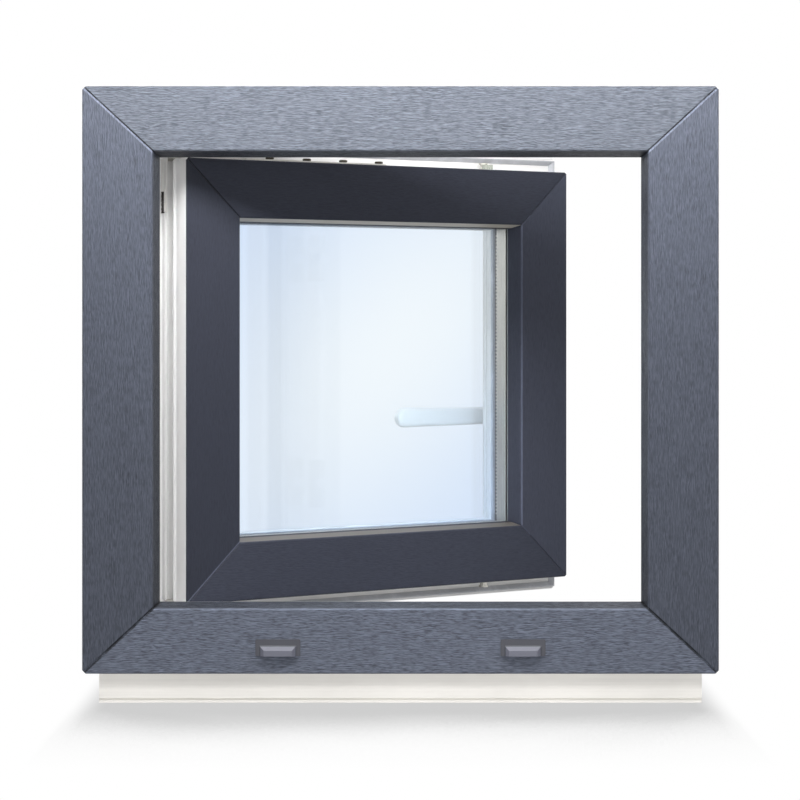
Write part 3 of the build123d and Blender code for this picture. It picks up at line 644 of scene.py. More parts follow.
@dataclass(frozen=True)
class Foil(Finish):
    """Foil with pressed wood grain on the outside faces of a plastic bar, plastic elsewhere.

    Attributes:
        place: The assembly that the bar belongs to.
        direction: Which way the bar runs.
        tone: The foil's colour.
        plastic: The plastic's colour.
        foil_depth: How deep the foil wraps round the lip.
        edge: How far it wraps round an outer edge.
        lip_start: Distance from a level outer edge past which only the lip is met.
        share: How much wider the upright bars are than the level ones.
        strength: How strong the grain is, 1 as the grain says.
        gloss: Specular level.
        grain: The pressed grain.
        seam: The line along the welds.
        roughness: The foil's roughness between pores.
        pore_roughness: What a pore adds to it.
        reveal_shade: Painted shade on the lip's slope: how much darker it is than the face, 0 to
            1.
        reveal: Depths between which that shade comes in.
        edge_light: How much brighter the corner between face and slope is: a painted highlight.
        corner: Depths between which that corner lies.
        bare: Depths between which the lip shows bare plastic.
        bare_tone: That plastic's colour, darkened below the white plastic's as painted shade.
        cloud: Length and width of the slow changes of tone.
        cloud_share: How much they change it.
        die_line: Length and width of the die lines on plastic.
        die_share: Their height, as a share of the grain's.
        speck_scale: Changes of the plastic's tone in a metre.
        speck: Levels of that noise between which a speck comes in.
        speck_tone: Factor on the plastic's tone in a speck.
        plastic_roughness: The plastic's least roughness.
        die_roughness: What a die line adds to it at most.
    """

    place: Place
    direction: Direction
    tone: Colour
    plastic: Colour
    foil_depth: float
    edge: float
    lip_start: float
    share: float
    strength: float
    gloss: float
    grain: Grain = Grain()
    seam: Seam = Seam()
    roughness: float = 0.40
    pore_roughness: float = 0.16
    reveal_shade: float = 0.45
    reveal: Span = (0.0012, 0.0050)
    edge_light: float = 0.0
    corner: Span = (0.0001, 0.0016)
    bare: Span = (0.0, 0.0)
    bare_tone: Colour = (0.50, 0.465, 0.405)
    cloud: Span = (0.25, 0.04)
    cloud_share: float = 0.12
    die_line: Span = (0.25, 0.002)
    die_share: float = 0.12
    speck_scale: float = 60.0
    speck: Span = (0.35, 0.75)
    speck_tone: float = 0.98
    plastic_roughness: float = 0.30
    die_roughness: float = 0.12

    def shader(self, graph: Graph) -> Term:
        """Add the shader.

        Args:
            graph: The material's node tree.

        Returns:
            The shader.
        """
        inside = graph.inside(self.place)
        x, depth, z = graph.split(inside)
        side = self.place.half_width - abs(x)
        rise = self.place.half_height - abs(z)
        on_lip = (side / self.share).least(rise) > self.lip_start
        lip = (depth < self.foil_depth) * on_lip
        # Bare plastic in the lip, in a tone darkened as painted shade.
        bare = (depth > self.bare[0]) * (depth < self.bare[1]) * on_lip
        foil = (depth < self.edge).most(lip) * (1.0 - bare)
        # The corner between face and slope, which gets a painted highlight.
        corner = (depth < self.corner[1]) * (depth > self.corner[0]) * on_lip

        grooves = self.grain.height(graph, inside, self.direction)
        cloud = graph.streaks(inside, self.direction.stretch(*self.cloud)) - 0.5
        change = (grooves - 0.5) * (self.grain.tint * self.strength)
        # The lip's slope gets painted shade, the seams their lines and the corner a painted
        # highlight.
        shade = (
            (1.0 + change + cloud * self.cloud_share)
            * (1.0 - depth.smooth(*self.reveal) * self.reveal_shade)
            * self.seam.factor(graph, inside, side, rise, self.share)
            * (1.0 + corner * self.edge_light)
        )
        specks = graph.noise(inside, self.speck_scale, 3.0).smooth(*self.speck)
        plastic = graph.blend(specks, self.plastic, shaded(self.plastic, self.speck_tone))

        drawn = graph.streaks(inside, self.direction.stretch(*self.die_line))
        rough_foil = self.roughness + (1.0 - grooves) * self.pore_roughness
        rough_plastic = self.plastic_roughness + drawn * self.die_roughness
        height = foil * grooves * self.strength + (1.0 - foil) * (drawn * self.die_share)
        return graph.principled(
            Base_Color=graph.blend(
                foil,
                graph.blend(bare, plastic, self.bare_tone),
                graph.vector("SCALE", a=self.tone, Scale=shade),
            ),
            Roughness=foil * rough_foil + (1.0 - foil) * rough_plastic,
            Normal=graph.bump(height, self.grain.depth),
            IOR=PLASTIC_IOR,
            Specular_IOR_Level=self.gloss,
        )


@dataclass(frozen=True)
class Plastic(Finish):
    """Smooth plastic with faint die lines along one direction and a soft change of tone.

    Attributes:
        tone: Its colour.
        lines: Changes in a metre across, in depth and upwards.
        roughness: Its roughness.
        line_depth: Depth of the lines.
        mottle: Half of the share by which the tone changes.
        shaded_from: Where along y the painted shade starts, if there is one.
        shade: Factor on the tone in that painted shade.
        cloud_scale: Slow changes of tone in a metre.
        cloud_height: Their height beside the lines' depth.
        line_share: The lines' share in the change of tone.
        line_roughness: How much they change the roughness.
    """

    tone: Colour
    lines: Point = (4.0, 500.0, 500.0)
    roughness: float = 0.34
    line_depth: float = 0.00004
    mottle: float = 0.05
    shaded_from: Optional[float] = None
    shade: float = 1.0
    cloud_scale: float = 9.0
    cloud_height: float = 0.2
    line_share: float = 0.3
    line_roughness: float = 0.12

    def shader(self, graph: Graph) -> Term:
        """Add the shader.

        Args:
            graph: The material's node tree.

        Returns:
            The shader.
        """
        row = graph.row()
        drawn = graph.streaks(row, self.lines)
        cloud = graph.noise(row, self.cloud_scale, 3.0)
        darker = shaded(self.tone, 1 - 2 * self.mottle)
        mixed = cloud * (1 - self.line_share) + drawn * self.line_share
        colour = graph.blend(mixed.spread(), darker, self.tone)
        # Painted shade on what lies behind that depth, such as a drain cap's plate.
        if self.shaded_from is not None:
            _, depth, _ = graph.split(row)
            painted_shade_tone = shaded(self.tone, self.shade)
            colour = graph.blend(depth > self.shaded_from, colour, painted_shade_tone)
        return graph.principled(
            Base_Color=colour,
            Roughness=self.roughness + (drawn - 0.5) * self.line_roughness,
            Normal=graph.bump(drawn + cloud * self.cloud_height, self.line_depth),
            IOR=PLASTIC_IOR,
        )


@dataclass(frozen=True)
class Rubber(Finish):
    """Soft seal: matte, faintly dusty and a little uneven.

    Attributes:
        tone: Its colour.
        roughness: Its roughness.
        dust_scale: Patches of dust in a metre.
        skin_scale: Bumps of the skin in a metre.
        skin_depth: Their height.
        dust: Levels of a noise between which dust comes in.
        dust_tone: Factor on the tone under dust, and what is added to it.
        dust_roughness: How much dust changes the roughness.
        dust_height: Its height beside the bumps'.
    """

    tone: Colour
    roughness: float = 0.62
    dust_scale: float = 45.0
    skin_scale: float = 900.0
    skin_depth: float = 0.00006
    dust: Span = (0.45, 0.8)
    dust_tone: Span = (1.35, 0.01)
    dust_roughness: float = 0.25
    dust_height: float = 0.6

    def shader(self, graph: Graph) -> Term:
        """Add the shader.

        Args:
            graph: The material's node tree.

        Returns:
            The shader.
        """
        row = graph.row()
        dust = graph.noise(row, self.dust_scale, 4.0, 0.6)
        skin = graph.noise(row, self.skin_scale)
        factor, added = self.dust_tone
        lighter = tuple(min(1.0, factor * level + added) for level in self.tone)
        return graph.principled(
            Base_Color=graph.blend(dust.smooth(*self.dust), self.tone, lighter),
            Roughness=self.roughness + (dust - 0.5) * self.dust_roughness,
            Normal=graph.bump(skin + dust * self.dust_height, self.skin_depth),
        )


@dataclass(frozen=True)
class Metal(Finish):
    """Plated, cast or drawn metal: brushed streaks one way, blotches all over.

    Attributes:
        tone: Its colour.
        roughness: Its middle roughness.
        streaks: Streaks in a metre across, in depth and upwards.
        streak_share: The streaks' share beside the blotches.
        grain_depth: Height of both.
        blotch_scale: Blotches in a metre.
        darkest: Factor on the tone where it is darkest.
        rough_change: How much both change the roughness.
    """

    tone: Colour
    roughness: float
    streaks: Point
    streak_share: float = 0.5
    grain_depth: float = 0.00003
    blotch_scale: float = 120.0
    darkest: float = 0.78
    rough_change: float = 0.35

    def shader(self, graph: Graph) -> Term:
        """Add the shader.

        Args:
            graph: The material's node tree.

        Returns:
            The shader.
        """
        row = graph.row()
        streak = graph.streaks(row, self.streaks, 3.0, 0.6)
        blotch = graph.noise(row, self.blotch_scale, 3.0, 0.55)
        mixed = streak * self.streak_share + blotch * (1 - self.streak_share)
        return graph.principled(
            Base_Color=graph.blend(mixed.spread(), shaded(self.tone, self.darkest), self.tone),
            Metallic=1.0,
            Roughness=self.roughness + (mixed - 0.5) * self.rough_change,
            Normal=graph.bump(mixed, self.grain_depth),
        )


@dataclass(frozen=True)
class Coated(Finish):
    """Powder-coated metal: the fine dimples that such paint dries with.

    Attributes:
        tone: The paint's colour.
        roughness: Its middle roughness.
        dimple: Width of a dimple.
        dimple_depth: Its depth.
        cloud_scale: Slow changes of tone in a metre.
        darkest: Factor on the tone where it is darkest.
        coat: Weight of the clear coat.
        rough_change: How much the slow changes change the roughness.
    """

    tone: Colour
    roughness: float = 0.3
    dimple: float = 0.0012
    dimple_depth: float = 0.00004
    cloud_scale: float = 14.0
    darkest: float = 0.93
    coat: float = 0.25
    rough_change: float = 0.15

    def shader(self, graph: Graph) -> Term:
        """Add the shader.

        Args:
            graph: The material's node tree.

        Returns:
            The shader.
        """
        row = graph.row()
        dimples = graph.noise(row, 1 / self.dimple, 1.0)
        cloud = graph.noise(row, self.cloud_scale, 3.0)
        return graph.principled(
            Base_Color=graph.blend(cloud.spread(), shaded(self.tone, self.darkest), self.tone),
            Roughness=self.roughness + (cloud - 0.5) * self.rough_change,
            Normal=graph.bump(dimples, self.dimple_depth),
            IOR=PLASTIC_IOR,
            Coat_Weight=self.coat,
        )


@dataclass(frozen=True)
class Perforated(Finish):
    """Aluminium spacer: a row of small holes beside the room pane and a dark line of sealant.

    Attributes:
        place: The assembly that the spacer belongs to.
        tone: The metal's colour.
        front: From the assembly's outside face to the spacer.
        width: The spacer, pane to pane.
        pitch: From hole to hole.
        hole: A hole's radius.
        row_inset: From the room pane to the row of holes.
        seal_line: How far the sealant comes out from the room pane.
        dark: Colour of the sealant, and of the holes as painted shade.
        streaks: Streaks in a metre across, in depth and upwards.
        roughness: The metal's middle roughness.
        hole_depth: How deep the holes look.
        hole_floor: Share of a hole's radius that is fully dark with painted shade.
        darkest: Factor on the tone where the streaks are darkest.
        rough_change: How much they change the roughness.
        streak_height: Their height beside the holes' depth.
    """

    place: Place
    tone: Colour
    front: float
    width: float
    pitch: float = 0.0042
    hole: float = 0.0017
    row_inset: float = 0.0024
    seal_line: float = 0.0014
    dark: Colour = (0.05, 0.05, 0.055)
    streaks: Point = (40.0, 900.0, 40.0)
    roughness: float = 0.34
    hole_depth: float = 0.0003
    hole_floor: float = 0.55
    darkest: float = 0.86
    rough_change: float = 0.2
    streak_height: float = 0.05

    def shader(self, graph: Graph) -> Term:
        """Add the shader.

        Args:
            graph: The material's node tree.

        Returns:
            The shader.
        """
        inside = graph.inside(self.place)
        x, depth, z = graph.split(inside)
        back = self.front + self.width
        level = (self.place.half_height - abs(z)) < (self.place.half_width - abs(x))
        along = (level * x + (1.0 - level) * z).rest_of(self.pitch)
        across = depth - (back - self.row_inset)
        apart = (along * along + across * across).root()
        # The holes are painted dark as painted shade; the sealant line is its own colour.
        hole = 1.0 - apart.smooth(self.hole * self.hole_floor, self.hole)
        dark = hole.most(depth > back - self.seal_line)
        streak = graph.streaks(inside, self.streaks, 3.0)
        bright = graph.blend(streak.spread(), shaded(self.tone, self.darkest), self.tone)
        return graph.principled(
            Base_Color=graph.blend(dark, bright, self.dark),
            Metallic=1.0 - dark,
            Roughness=self.roughness + (streak - 0.5) * self.rough_change,
            Normal=graph.bump(streak * self.streak_height - hole, self.hole_depth),
        )


@dataclass(frozen=True)
class Glass(Finish):
    """A pane of the glass unit, faintly blue, with a painted reflection of pale blue sky as seen
    through both panes.

    The tint is clear along a soft band from the upper lock side to the lower hinge side and
    deepens towards the other two corners: its share is the length of (u / band, v / run), with
    u across the band and v along it, both taken from the pane's half sizes.

    Attributes:
        place: The assembly that the pane belongs to.
        half_width: Half of the width of glass that shows.
        half_height: Half of its height.
        clear: Tint in the band.
        deep: Tint in the corners.
        band: How wide the band is, in half sizes.
        run: How long it is.
        shift: How far its middle is moved along it.
        sky_ripple_scale: Slow changes in a metre.
        sky_ripple: How much they change the share.
        shadow_tint: Colour of the light that goes on through the pane.
    """

    place: Place
    half_width: float
    half_height: float
    clear: Colour = (0.932, 0.966, 0.990)
    deep: Colour = (0.800, 0.872, 0.972)
    band: float = 1.6
    run: float = 3.0
    shift: float = 0.3
    sky_ripple_scale: float = 5.0
    sky_ripple: float = 0.08
    shadow_tint: Colour = (0.9, 0.93, 0.95)

    def shader(self, graph: Graph) -> Term:
        """Add the shader; lamps shine through the pane without bending.

        Args:
            graph: The material's node tree.

        Returns:
            The shader.
        """
        # Painted reflection of sky: the tint deepens away from a soft band, with a slow ripple.
        inside = graph.inside(self.place)
        x, _, z = graph.split(inside)
        across = x / self.half_width
        upwards = z / self.half_height
        u = (across - upwards) * math.sqrt(0.5)
        v = (across + upwards) * math.sqrt(0.5) - self.shift
        away = (u * u / self.band**2 + v * v / self.run**2).root()
        sky_ripple = graph.noise(inside, self.sky_ripple_scale, 1.0) - 0.5
        share = (away + sky_ripple * self.sky_ripple).smooth(0.0, 1.0)
        pane = graph.principled(
            Base_Color=graph.blend(share, self.clear, self.deep),
            Roughness=0.0,
            IOR=GLASS_IOR,
            Transmission_Weight=1.0,
        )
        through = graph.plain_shader("ShaderNodeBsdfTransparent", self.shadow_tint)
        shadow = graph.term(graph.node("ShaderNodeLightPath"), "Is Shadow Ray")
        return graph.choose(shadow, pane, through)


@dataclass(frozen=True)
class Backdrop(Finish):
    """Floor that looks white, with a painted soft shade that the window's foot leaves on it.

    Attributes:
        name: The material's name.
        shade: The shade's level at the foot.
        spread: How far the shade reaches.
        open_share: Shares of open sky at which the shade starts to fade and is gone.
        half_width: Half of the foot's width.
        side_fade: How far past it the shade fades.
        diffuse: The floor's colour for the light it throws back.
        samples: Rays for the share of open sky.
    """

    name: str = "studio_floor"
    shade: float = 0.620
    spread: float = 0.40
    open_share: Span = (0.822, 0.973)
    half_width: float = 0.298
    side_fade: float = 0.038
    diffuse: Colour = (0.55, 0.55, 0.55)
    samples: int = 16

    def shader(self, graph: Graph) -> Term:
        """Add the shader: white for what sees it, grey for the light it throws back.

        Args:
            graph: The material's node tree.

        Returns:
            The shader.
        """
        # Painted shade: the emitted level drops where the window hides the open sky, and stops
        # past the foot's ends.
        near = graph.node(
            "ShaderNodeAmbientOcclusion", {"samples": self.samples}, {"Distance": self.spread}
        )
        x, _, _ = graph.split(graph.row())
        beside = abs(x).smooth(self.half_width, self.half_width + self.side_fade)
        fade = graph.term(near, "AO").smooth(*self.open_share).most(beside)
        glow = graph.plain_shader(
            "ShaderNodeEmission", graph.blend(fade, (self.shade,) * 3, WHITE)
        )
        matt = graph.plain_shader("ShaderNodeBsdfDiffuse", self.diffuse)
        return graph.choose(graph.seen(), matt, glow)


def solid_mesh(name: str, grids: Sequence[np.ndarray]) -> bpy.types.Mesh:
    """Make one closed mesh from grids of points, each joined round its columns.

    Args:
        name: The mesh's name.
        grids: Arrays of shape (rows, columns, 3). A row whose points coincide is a pole.

    Returns:
        The mesh, its doubles merged and its faces turned outwards.
    """
    points, faces, start = [], [], 0
    for grid in grids:
        rows, columns = grid.shape[:2]
        numbers = start + np.arange(rows * columns).reshape(rows, columns)
        numbers = np.hstack([numbers, numbers[:, :1]])
        corners = [numbers[:-1, :-1], numbers[:-1, 1:], numbers[1:, 1:], numbers[1:, :-1]]
        faces.append(np.stack(corners, axis=-1).reshape(-1, 4))
        points.append(grid.reshape(-1, 3))
        start += rows * columns
    mesh = bpy.data.meshes.new(name)
    mesh.from_pydata(np.concatenate(points), [], np.concatenate(faces))
    shape = bmesh.new()
    shape.from_mesh(mesh)
    bmesh.ops.remove_doubles(shape, verts=shape.verts[:], dist=MERGE)
    bmesh.ops.recalc_face_normals(shape, faces=shape.faces[:])
    shape.to_mesh(mesh)
    shape.free()
    mesh.update()
    return mesh


def stood_on(
    grid: np.ndarray, centre: np.ndarray, axis: np.ndarray, along: np.ndarray
) -> np.ndarray:
    """Move a grid drawn about the z axis so that z is the axis and x runs along.

    Args:
        grid: Array of shape (..., 3).
        centre: Where the origin goes.
        axis: Unit vector for z.
        along: Unit vector for x, square to the axis.

    Returns:
        Array of the same shape.
    """
    return grid @ np.stack([along, np.cross(axis, along), axis]) + centre


def corners_of(node: str) -> tuple[np.ndarray, np.ndarray]:
    """Read the low and high corners of a node's box."""
    low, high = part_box(node)
    return np.array(low), np.array(high)


def place_piece(mesh: bpy.types.Mesh, material: bpy.types.Material) -> bpy.types.Object:
    """Put a finished mesh into the scene as a piece that rides on the window.

    Args:
        mesh: The mesh, with its place in its points.
        material: Its finish.

    Returns:
        The object.
    """
    mesh.materials.append(material)
    piece = bpy.data.objects.new(mesh.name, mesh)
    bpy.context.scene.collection.objects.link(piece)
    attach(piece, BODY)
    LOG.info("%s: %d faces", piece.name, len(mesh.polygons))
    return piece


@dataclass
class Finishes:
    """Every finish of the window, made once.

    The foil's tone differs a little from bar to bar: it makes up for the light, which falls
    off less along the bars here than along real ones.

    Attributes:
        sizes: The shared sizes.
        frame_place: Where the outer frame stands.
        sash_place: Where the sash stands.
        head: Foil on the frame's head.
        sill: Foil on its sill.
        jamb: Foil on its jambs.
        top_rail: Foil on the sash's top rail.
        bottom_rail: Foil on its bottom rail.
        hinge_stile: Foil on its hinge stile.
        lock_stile: Foil on its lock stile.
        white: White plastic.
        made: The materials by name.
    """

    sizes: Sizes
    frame_place: Place
    sash_place: Place
    head: Colour = (0.085315, 0.095485, 0.118650)
    sill: Colour = (0.111300, 0.126000, 0.166950)
    jamb: Colour = (0.059890, 0.067800, 0.090965)
    top_rail: Colour = (0.032490, 0.035910, 0.051300)
    bottom_rail: Colour = (0.041325, 0.045675, 0.065250)
    hinge_stile: Colour = (0.028500, 0.031500, 0.045000)
    lock_stile: Colour = (0.049875, 0.055125, 0.078750)
    white: Colour = (0.86, 0.855, 0.85)
    made: dict[str, bpy.types.Material] = field(default_factory=dict)

    def build(self) -> None:
        """Make the materials and keep them by name."""
        kinds = (
            self._frame_foils() + self._sash_foils() + self._plastics() + self._metals()
            + self._glass_unit()
        )
        for kind in kinds:
            self.made[kind.name] = kind.material()

    def _foil(self, name: str, place: Place, tone: Colour, **more: Any) -> Foil:
        """Foil on a level bar.

        Args:
            name: The material's name.
            place: The assembly that the bar belongs to.
            tone: The foil's colour.
            more: Other fields of the foil.

        Returns:
            The finish.
        """
        return Foil(
            name, place, Direction.LEVEL, tone, self.white, edge=self.sizes.foil_edge,
            lip_start=self.sizes.lip_start, share=self.sizes.upright_share, **more,
        )

    def _frame_foils(self) -> list[Finish]:
        """Foil on the outer frame's bars.

        Returns:
            The finishes.
        """
        # reveal_shade is painted shade on each lip's slope; the sill's edge_light and the jambs'
        # seam light are painted highlights.
        head = self._foil(
            "foil_frame_head", self.frame_place, self.head, strength=1.0, gloss=0.25,
            foil_depth=self.sizes.frame_foil_depth, reveal_shade=0.58,
        )
        sill = replace(
            head, name="foil_frame_sill", tone=self.sill, strength=1.1, reveal_shade=0.64,
            edge_light=0.4,
        )
        jamb = replace(
            head, name="foil_frame_jamb", direction=Direction.UPRIGHT, tone=self.jamb,
            strength=0.8, seam=Seam(light=0.9),
        )
        return [head, sill, jamb]

    def _sash_foils(self) -> list[Finish]:
        """Foil on the sash's bars, whose grain is faint.

        Returns:
            The finishes.
        """
        # reveal_shade is painted shade on the lips' slopes, the rails' bare_tone is darkened as
        # painted shade, and the hinge stile's seam light and the lock stile's edge_light are
        # painted highlights.
        seam = Seam(width=0.0015, shade=0.5)
        faint = replace(seam, shade=0.15)
        top = self._foil(
            "foil_sash_top_rail", self.sash_place, self.top_rail, strength=0.25, gloss=0.15,
            foil_depth=self.sizes.sash_foil_depth, bare=self.sizes.bare_lip, seam=seam,
        )
        # The bottom rail's bare lip is darker still: painted shade against the lamps on its upper
        # face.
        bottom = replace(
            top, name="foil_sash_bottom_rail", tone=self.bottom_rail, strength=0.3, seam=faint,
            bare_tone=(0.130, 0.118, 0.104),
        )
        upright = replace(top, direction=Direction.UPRIGHT, bare=(0.0, 0.0))
        hinge = replace(
            upright, name="foil_sash_hinge_stile", tone=self.hinge_stile, reveal_shade=0.0,
            seam=replace(seam, light=2.6, lit_width=0.0021, lit_end=-1.0),
        )
        lock = replace(
            upright, name="foil_sash_lock_stile", tone=self.lock_stile, reveal_shade=0.15,
            edge_light=0.9, seam=faint,
        )
        return [top, bottom, hinge, lock]

    def _plastics(self) -> list[Finish]:
        """Plain plastics and seals.

        Returns:
            The finishes.
        """
        return [
            Plastic("white_plastic", self.white),
            Plastic("cream_plastic", (0.885, 0.860, 0.815)),
            Plastic("bead_plastic", (0.88, 0.855, 0.81)),
            # The drain caps' plates get painted shade.
            Plastic(
                "drain_cap_plastic", srgb(104, 106, 119), (300.0, 300.0, 300.0), 0.45,
                mottle=0.04, shade=0.36,
                shaded_from=self.frame_place.pivot[1] - self.sizes.cap_plate,
            ),
            # Dark plastic for the block of painted shade in the hinge strap's pocket.
            Plastic("pocket_shade_plastic", srgb(46, 42, 40), (30.0, 300.0, 300.0), 0.6),
            Plastic("guide_plastic", srgb(168, 172, 162), (200.0, 200.0, 40.0), 0.5),
            Rubber("grey_seal", srgb(176, 178, 184)),
            Rubber("black_seal", srgb(24, 24, 27), 0.5),
            Rubber("edge_sealant", srgb(20, 20, 22), 0.7),
        ]

    def _metals(self) -> list[Finish]:
        """Finishes of the hardware.

        Returns:
            The finishes.
        """
        return [
            Metal("bright_steel", srgb(205, 203, 196), 0.30, (20.0, 20.0, 700.0)),
            Metal("cast_zinc", srgb(196, 196, 192), 0.48, (300.0, 300.0, 300.0), 0.3, 0.00008),
            Metal("dark_steel", srgb(72, 68, 60), 0.45, (60.0, 60.0, 60.0), 0.3),
            Coated("white_coated_metal", (0.93, 0.92, 0.89)),
        ]

    def _glass_unit(self) -> list[Finish]:
        """Panes and the spacer between them.

        Returns:
            The finishes.
        """
        sizes, place = self.sizes, self.sash_place
        return [
            Perforated(
                "spacer_aluminium", place, srgb(186, 180, 170), sizes.spacer_front,
                sizes.spacer_width,
            ),
            Glass("clear_glass", place, sizes.pane_half_width, sizes.pane_half_height),
        ]

    def dress(self, nodes: Mapping[str, bpy.types.Object], name: str, *members: str) -> None:
        """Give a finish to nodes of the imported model.

        Args:
            nodes: The nodes' objects by name.
            name: The finish's name.
            members: The nodes that get it.
        """
        for member in members:
            mesh = nodes[member].data
            mesh.materials.clear()
            mesh.materials.append(self.made[name])
            LOG.info("%s: %s", member, name)


@dataclass
class OuterFrame:
    """Head, jambs and sill with their seal, drain caps and the profile below.

    Attributes:
        finishes: The window's finishes.
    """

    finishes: Finishes

    def dress(self, nodes: Mapping[str, bpy.types.Object]) -> None:
        """Give the frame's nodes their finishes.

        Args:
            nodes: The nodes' objects by name.
        """
        give = self.finishes.dress
        give(nodes, "foil_frame_head", "frame_head")
        give(nodes, "foil_frame_sill", "frame_sill")
        give(nodes, "foil_frame_jamb", "frame_left_jamb", "frame_right_jamb")
        give(nodes, "cream_plastic", "sill_profile")
        give(nodes, "drain_cap_plastic", "drain_cap_left", "drain_cap_right")
        give(nodes, "grey_seal", "frame_seal")


@dataclass
class Sash:
    """Rails, stiles, beads, seals and the glass unit.

    Attributes:
        finishes: The window's finishes.
    """

    finishes: Finishes

    def dress(self, nodes: Mapping[str, bpy.types.Object]) -> None:
        """Give the sash's nodes their finishes.

        Args:
            nodes: The nodes' objects by name.
        """
        give = self.finishes.dress
        for bar in ("sash_top_rail", "sash_bottom_rail", "sash_hinge_stile", "sash_lock_stile"):
            give(nodes, f"foil_{bar}", bar)
        give(nodes, "bead_plastic", "bead_top", "bead_bottom", "bead_hinge_side", "bead_lock_side")
        give(nodes, "grey_seal", "sash_seal", "inner_glazing_seal")
        give(nodes, "black_seal", "outer_glazing_seal")
        give(nodes, "edge_sealant", "glass_edge_seal")
        give(nodes, "spacer_aluminium", "spacer_bar")
        give(nodes, "clear_glass", "outer_pane", "inner_pane")


@dataclass(frozen=True)
class Screw:
    """Domed screw head with a crossed recess.

    The head is a surface over radius and angle: a flat dome,
    height = dome * (1 - (r / radius) squared), less the recess where the point lies within
    half_arm of either of two crossed lines and nearer than reach to the middle. Below the rim it
    closes in a short cone, which stands in the plate.

    Attributes:
        radius: The head's radius.
        dome: How high it bulges.
        recess: Depth of the cross.
        half_arm: Half of an arm's width.
        reach: Length of an arm.
        rim: How thick the head is at its rim.
        sunk: How deep the cone goes.
        cone: What is left of the radius at its foot.
        slopes: Width of the slopes at an arm's sides and at its end, as shares of half_arm
            and reach.
        rings: Rows of points from the middle to the rim.
        sides: Points round each row.
    """

    radius: float = 3.6 * MM
    dome: float = 1.1 * MM
    recess: float = 1.0 * MM
    half_arm: float = 0.55 * MM
    reach: float = 2.3 * MM
    rim: float = 0.3 * MM
    sunk: float = 1.2 * MM
    cone: float = 0.5
    slopes: Span = (0.5, 0.3)
    rings: int = 14
    sides: int = 32

    def grid(self, turn: float) -> np.ndarray:
        """Give the head's points about the z axis.

        Args:
            turn: The angle by which the recess is turned, in radians.

        Returns:
            Array of shape (rings + 3, sides, 3).
        """
        radii = np.linspace(0, self.radius, self.rings)[:, None]
        angles = np.linspace(0, 2 * np.pi, self.sides, endpoint=False)[None, :]
        x, y = radii * np.cos(angles), radii * np.sin(angles)
        along = x * np.cos(turn) + y * np.sin(turn)
        across = y * np.cos(turn) - x * np.sin(turn)
        off = np.minimum(abs(along), abs(across))
        side, end = self.slopes[0] * self.half_arm, self.slopes[1] * self.reach
        within = np.clip((self.half_arm - off) / side + 0.5, 0, 1)
        within = within * np.clip((self.reach - radii) / end, 0, 1)
        height = self.dome * (1 - (radii / self.radius) ** 2) - self.recess * within
        top = np.stack([x, y, height], axis=-1)
        rim = np.stack([x[-1], y[-1], np.full(self.sides, -self.rim)], axis=-1)
        x_foot, y_foot = self.cone * x[-1], self.cone * y[-1]
        foot = np.stack([x_foot, y_foot, np.full(self.sides, -self.sunk)], axis=-1)
        pole = np.tile([0.0, 0.0, -self.sunk], (self.sides, 1))
        return np.concatenate([top, rim[None], foot[None], pole[None]])


@dataclass(frozen=True)
class Turned:
    """A turned part: a profile of radii and heights swung about the z axis.

    Attributes:
        radii: The profile's radii, in millimetres.
        heights: Its heights, in millimetres.
        sides: Points round each row.
    """

    radii: tuple[float, ...]
    heights: tuple[float, ...]
    sides: int = 40

    def grid(self) -> np.ndarray:
        """Give the points: (radius cos a, radius sin a, height) for each angle a.

        Returns:
            Array of shape (rows, sides, 3).
        """
        angles = np.linspace(0, 2 * np.pi, self.sides, endpoint=False)[None, :]
        radii = np.array(self.radii)[:, None] * MM
        heights = np.array(self.heights)[:, None] * MM + 0 * angles
        return np.stack([radii * np.cos(angles), radii * np.sin(angles), heights], axis=-1)


@dataclass(frozen=True)
class Guide:
    """Ribbed guide in front of the head's cam, drawn in the sash's axes.

    A closed outline over x, whose front is front + rib * (1 - cos(2 pi ribs share)) / 2 and
    whose back is straight, stands from the sash's top edge up to the guide's height.

    Attributes:
        start: Where it starts along the rail.
        end: Where it ends.
        front: Its front, from the sash's outside face.
        back: Its back.
        height: How high it stands.
        rib: How far a rib stands out.
        ribs: How many there are.
        steps: Points along each rib.
        lift: How far it stands off the edge.
        shoulder: Share of the height where the top starts to narrow.
        taper: What is left of the outline at the top.
    """

    start: float = 156.0 * MM
    end: float = 170.0 * MM
    front: float = 26.6 * MM
    back: float = 28.8 * MM
    height: float = 7.0 * MM
    rib: float = 1.2 * MM
    ribs: int = 4
    steps: int = 12
    lift: float = 0.05 * MM
    shoulder: float = 0.92
    taper: float = 0.96

    def grid(self, edge: float) -> np.ndarray:
        """Give the guide's points.

        Args:
            edge: Height of the level edge that it stands on.

        Returns:
            Array of shape (rows, points of the outline, 3).
        """
        share = np.linspace(0, 1, self.steps * self.ribs + 1)
        wave = 0.5 * (1 + np.cos(2 * np.pi * self.ribs * share))
        x = self.start + (self.end - self.start) * share
        ribbed = np.stack([x, self.front + self.rib * (1 - wave)], axis=-1)
        straight = np.array([[self.end, self.back], [self.start, self.back]])
        outline = np.concatenate([ribbed, straight])
        foot = edge + self.lift
        shoulder, top = foot + self.shoulder * self.height, foot + self.height
        levels = np.array([foot, foot, shoulder, top, top])
        scale = np.array([0.0, 1.0, 1.0, self.taper, 0.0])
        middle = outline.mean(axis=0)
        ring = middle + (outline - middle)[None] * scale[:, None, None]
        heights = np.broadcast_to(levels[:, None, None], ring.shape[:2] + (1,))
        return np.concatenate([ring, heights], axis=-1)


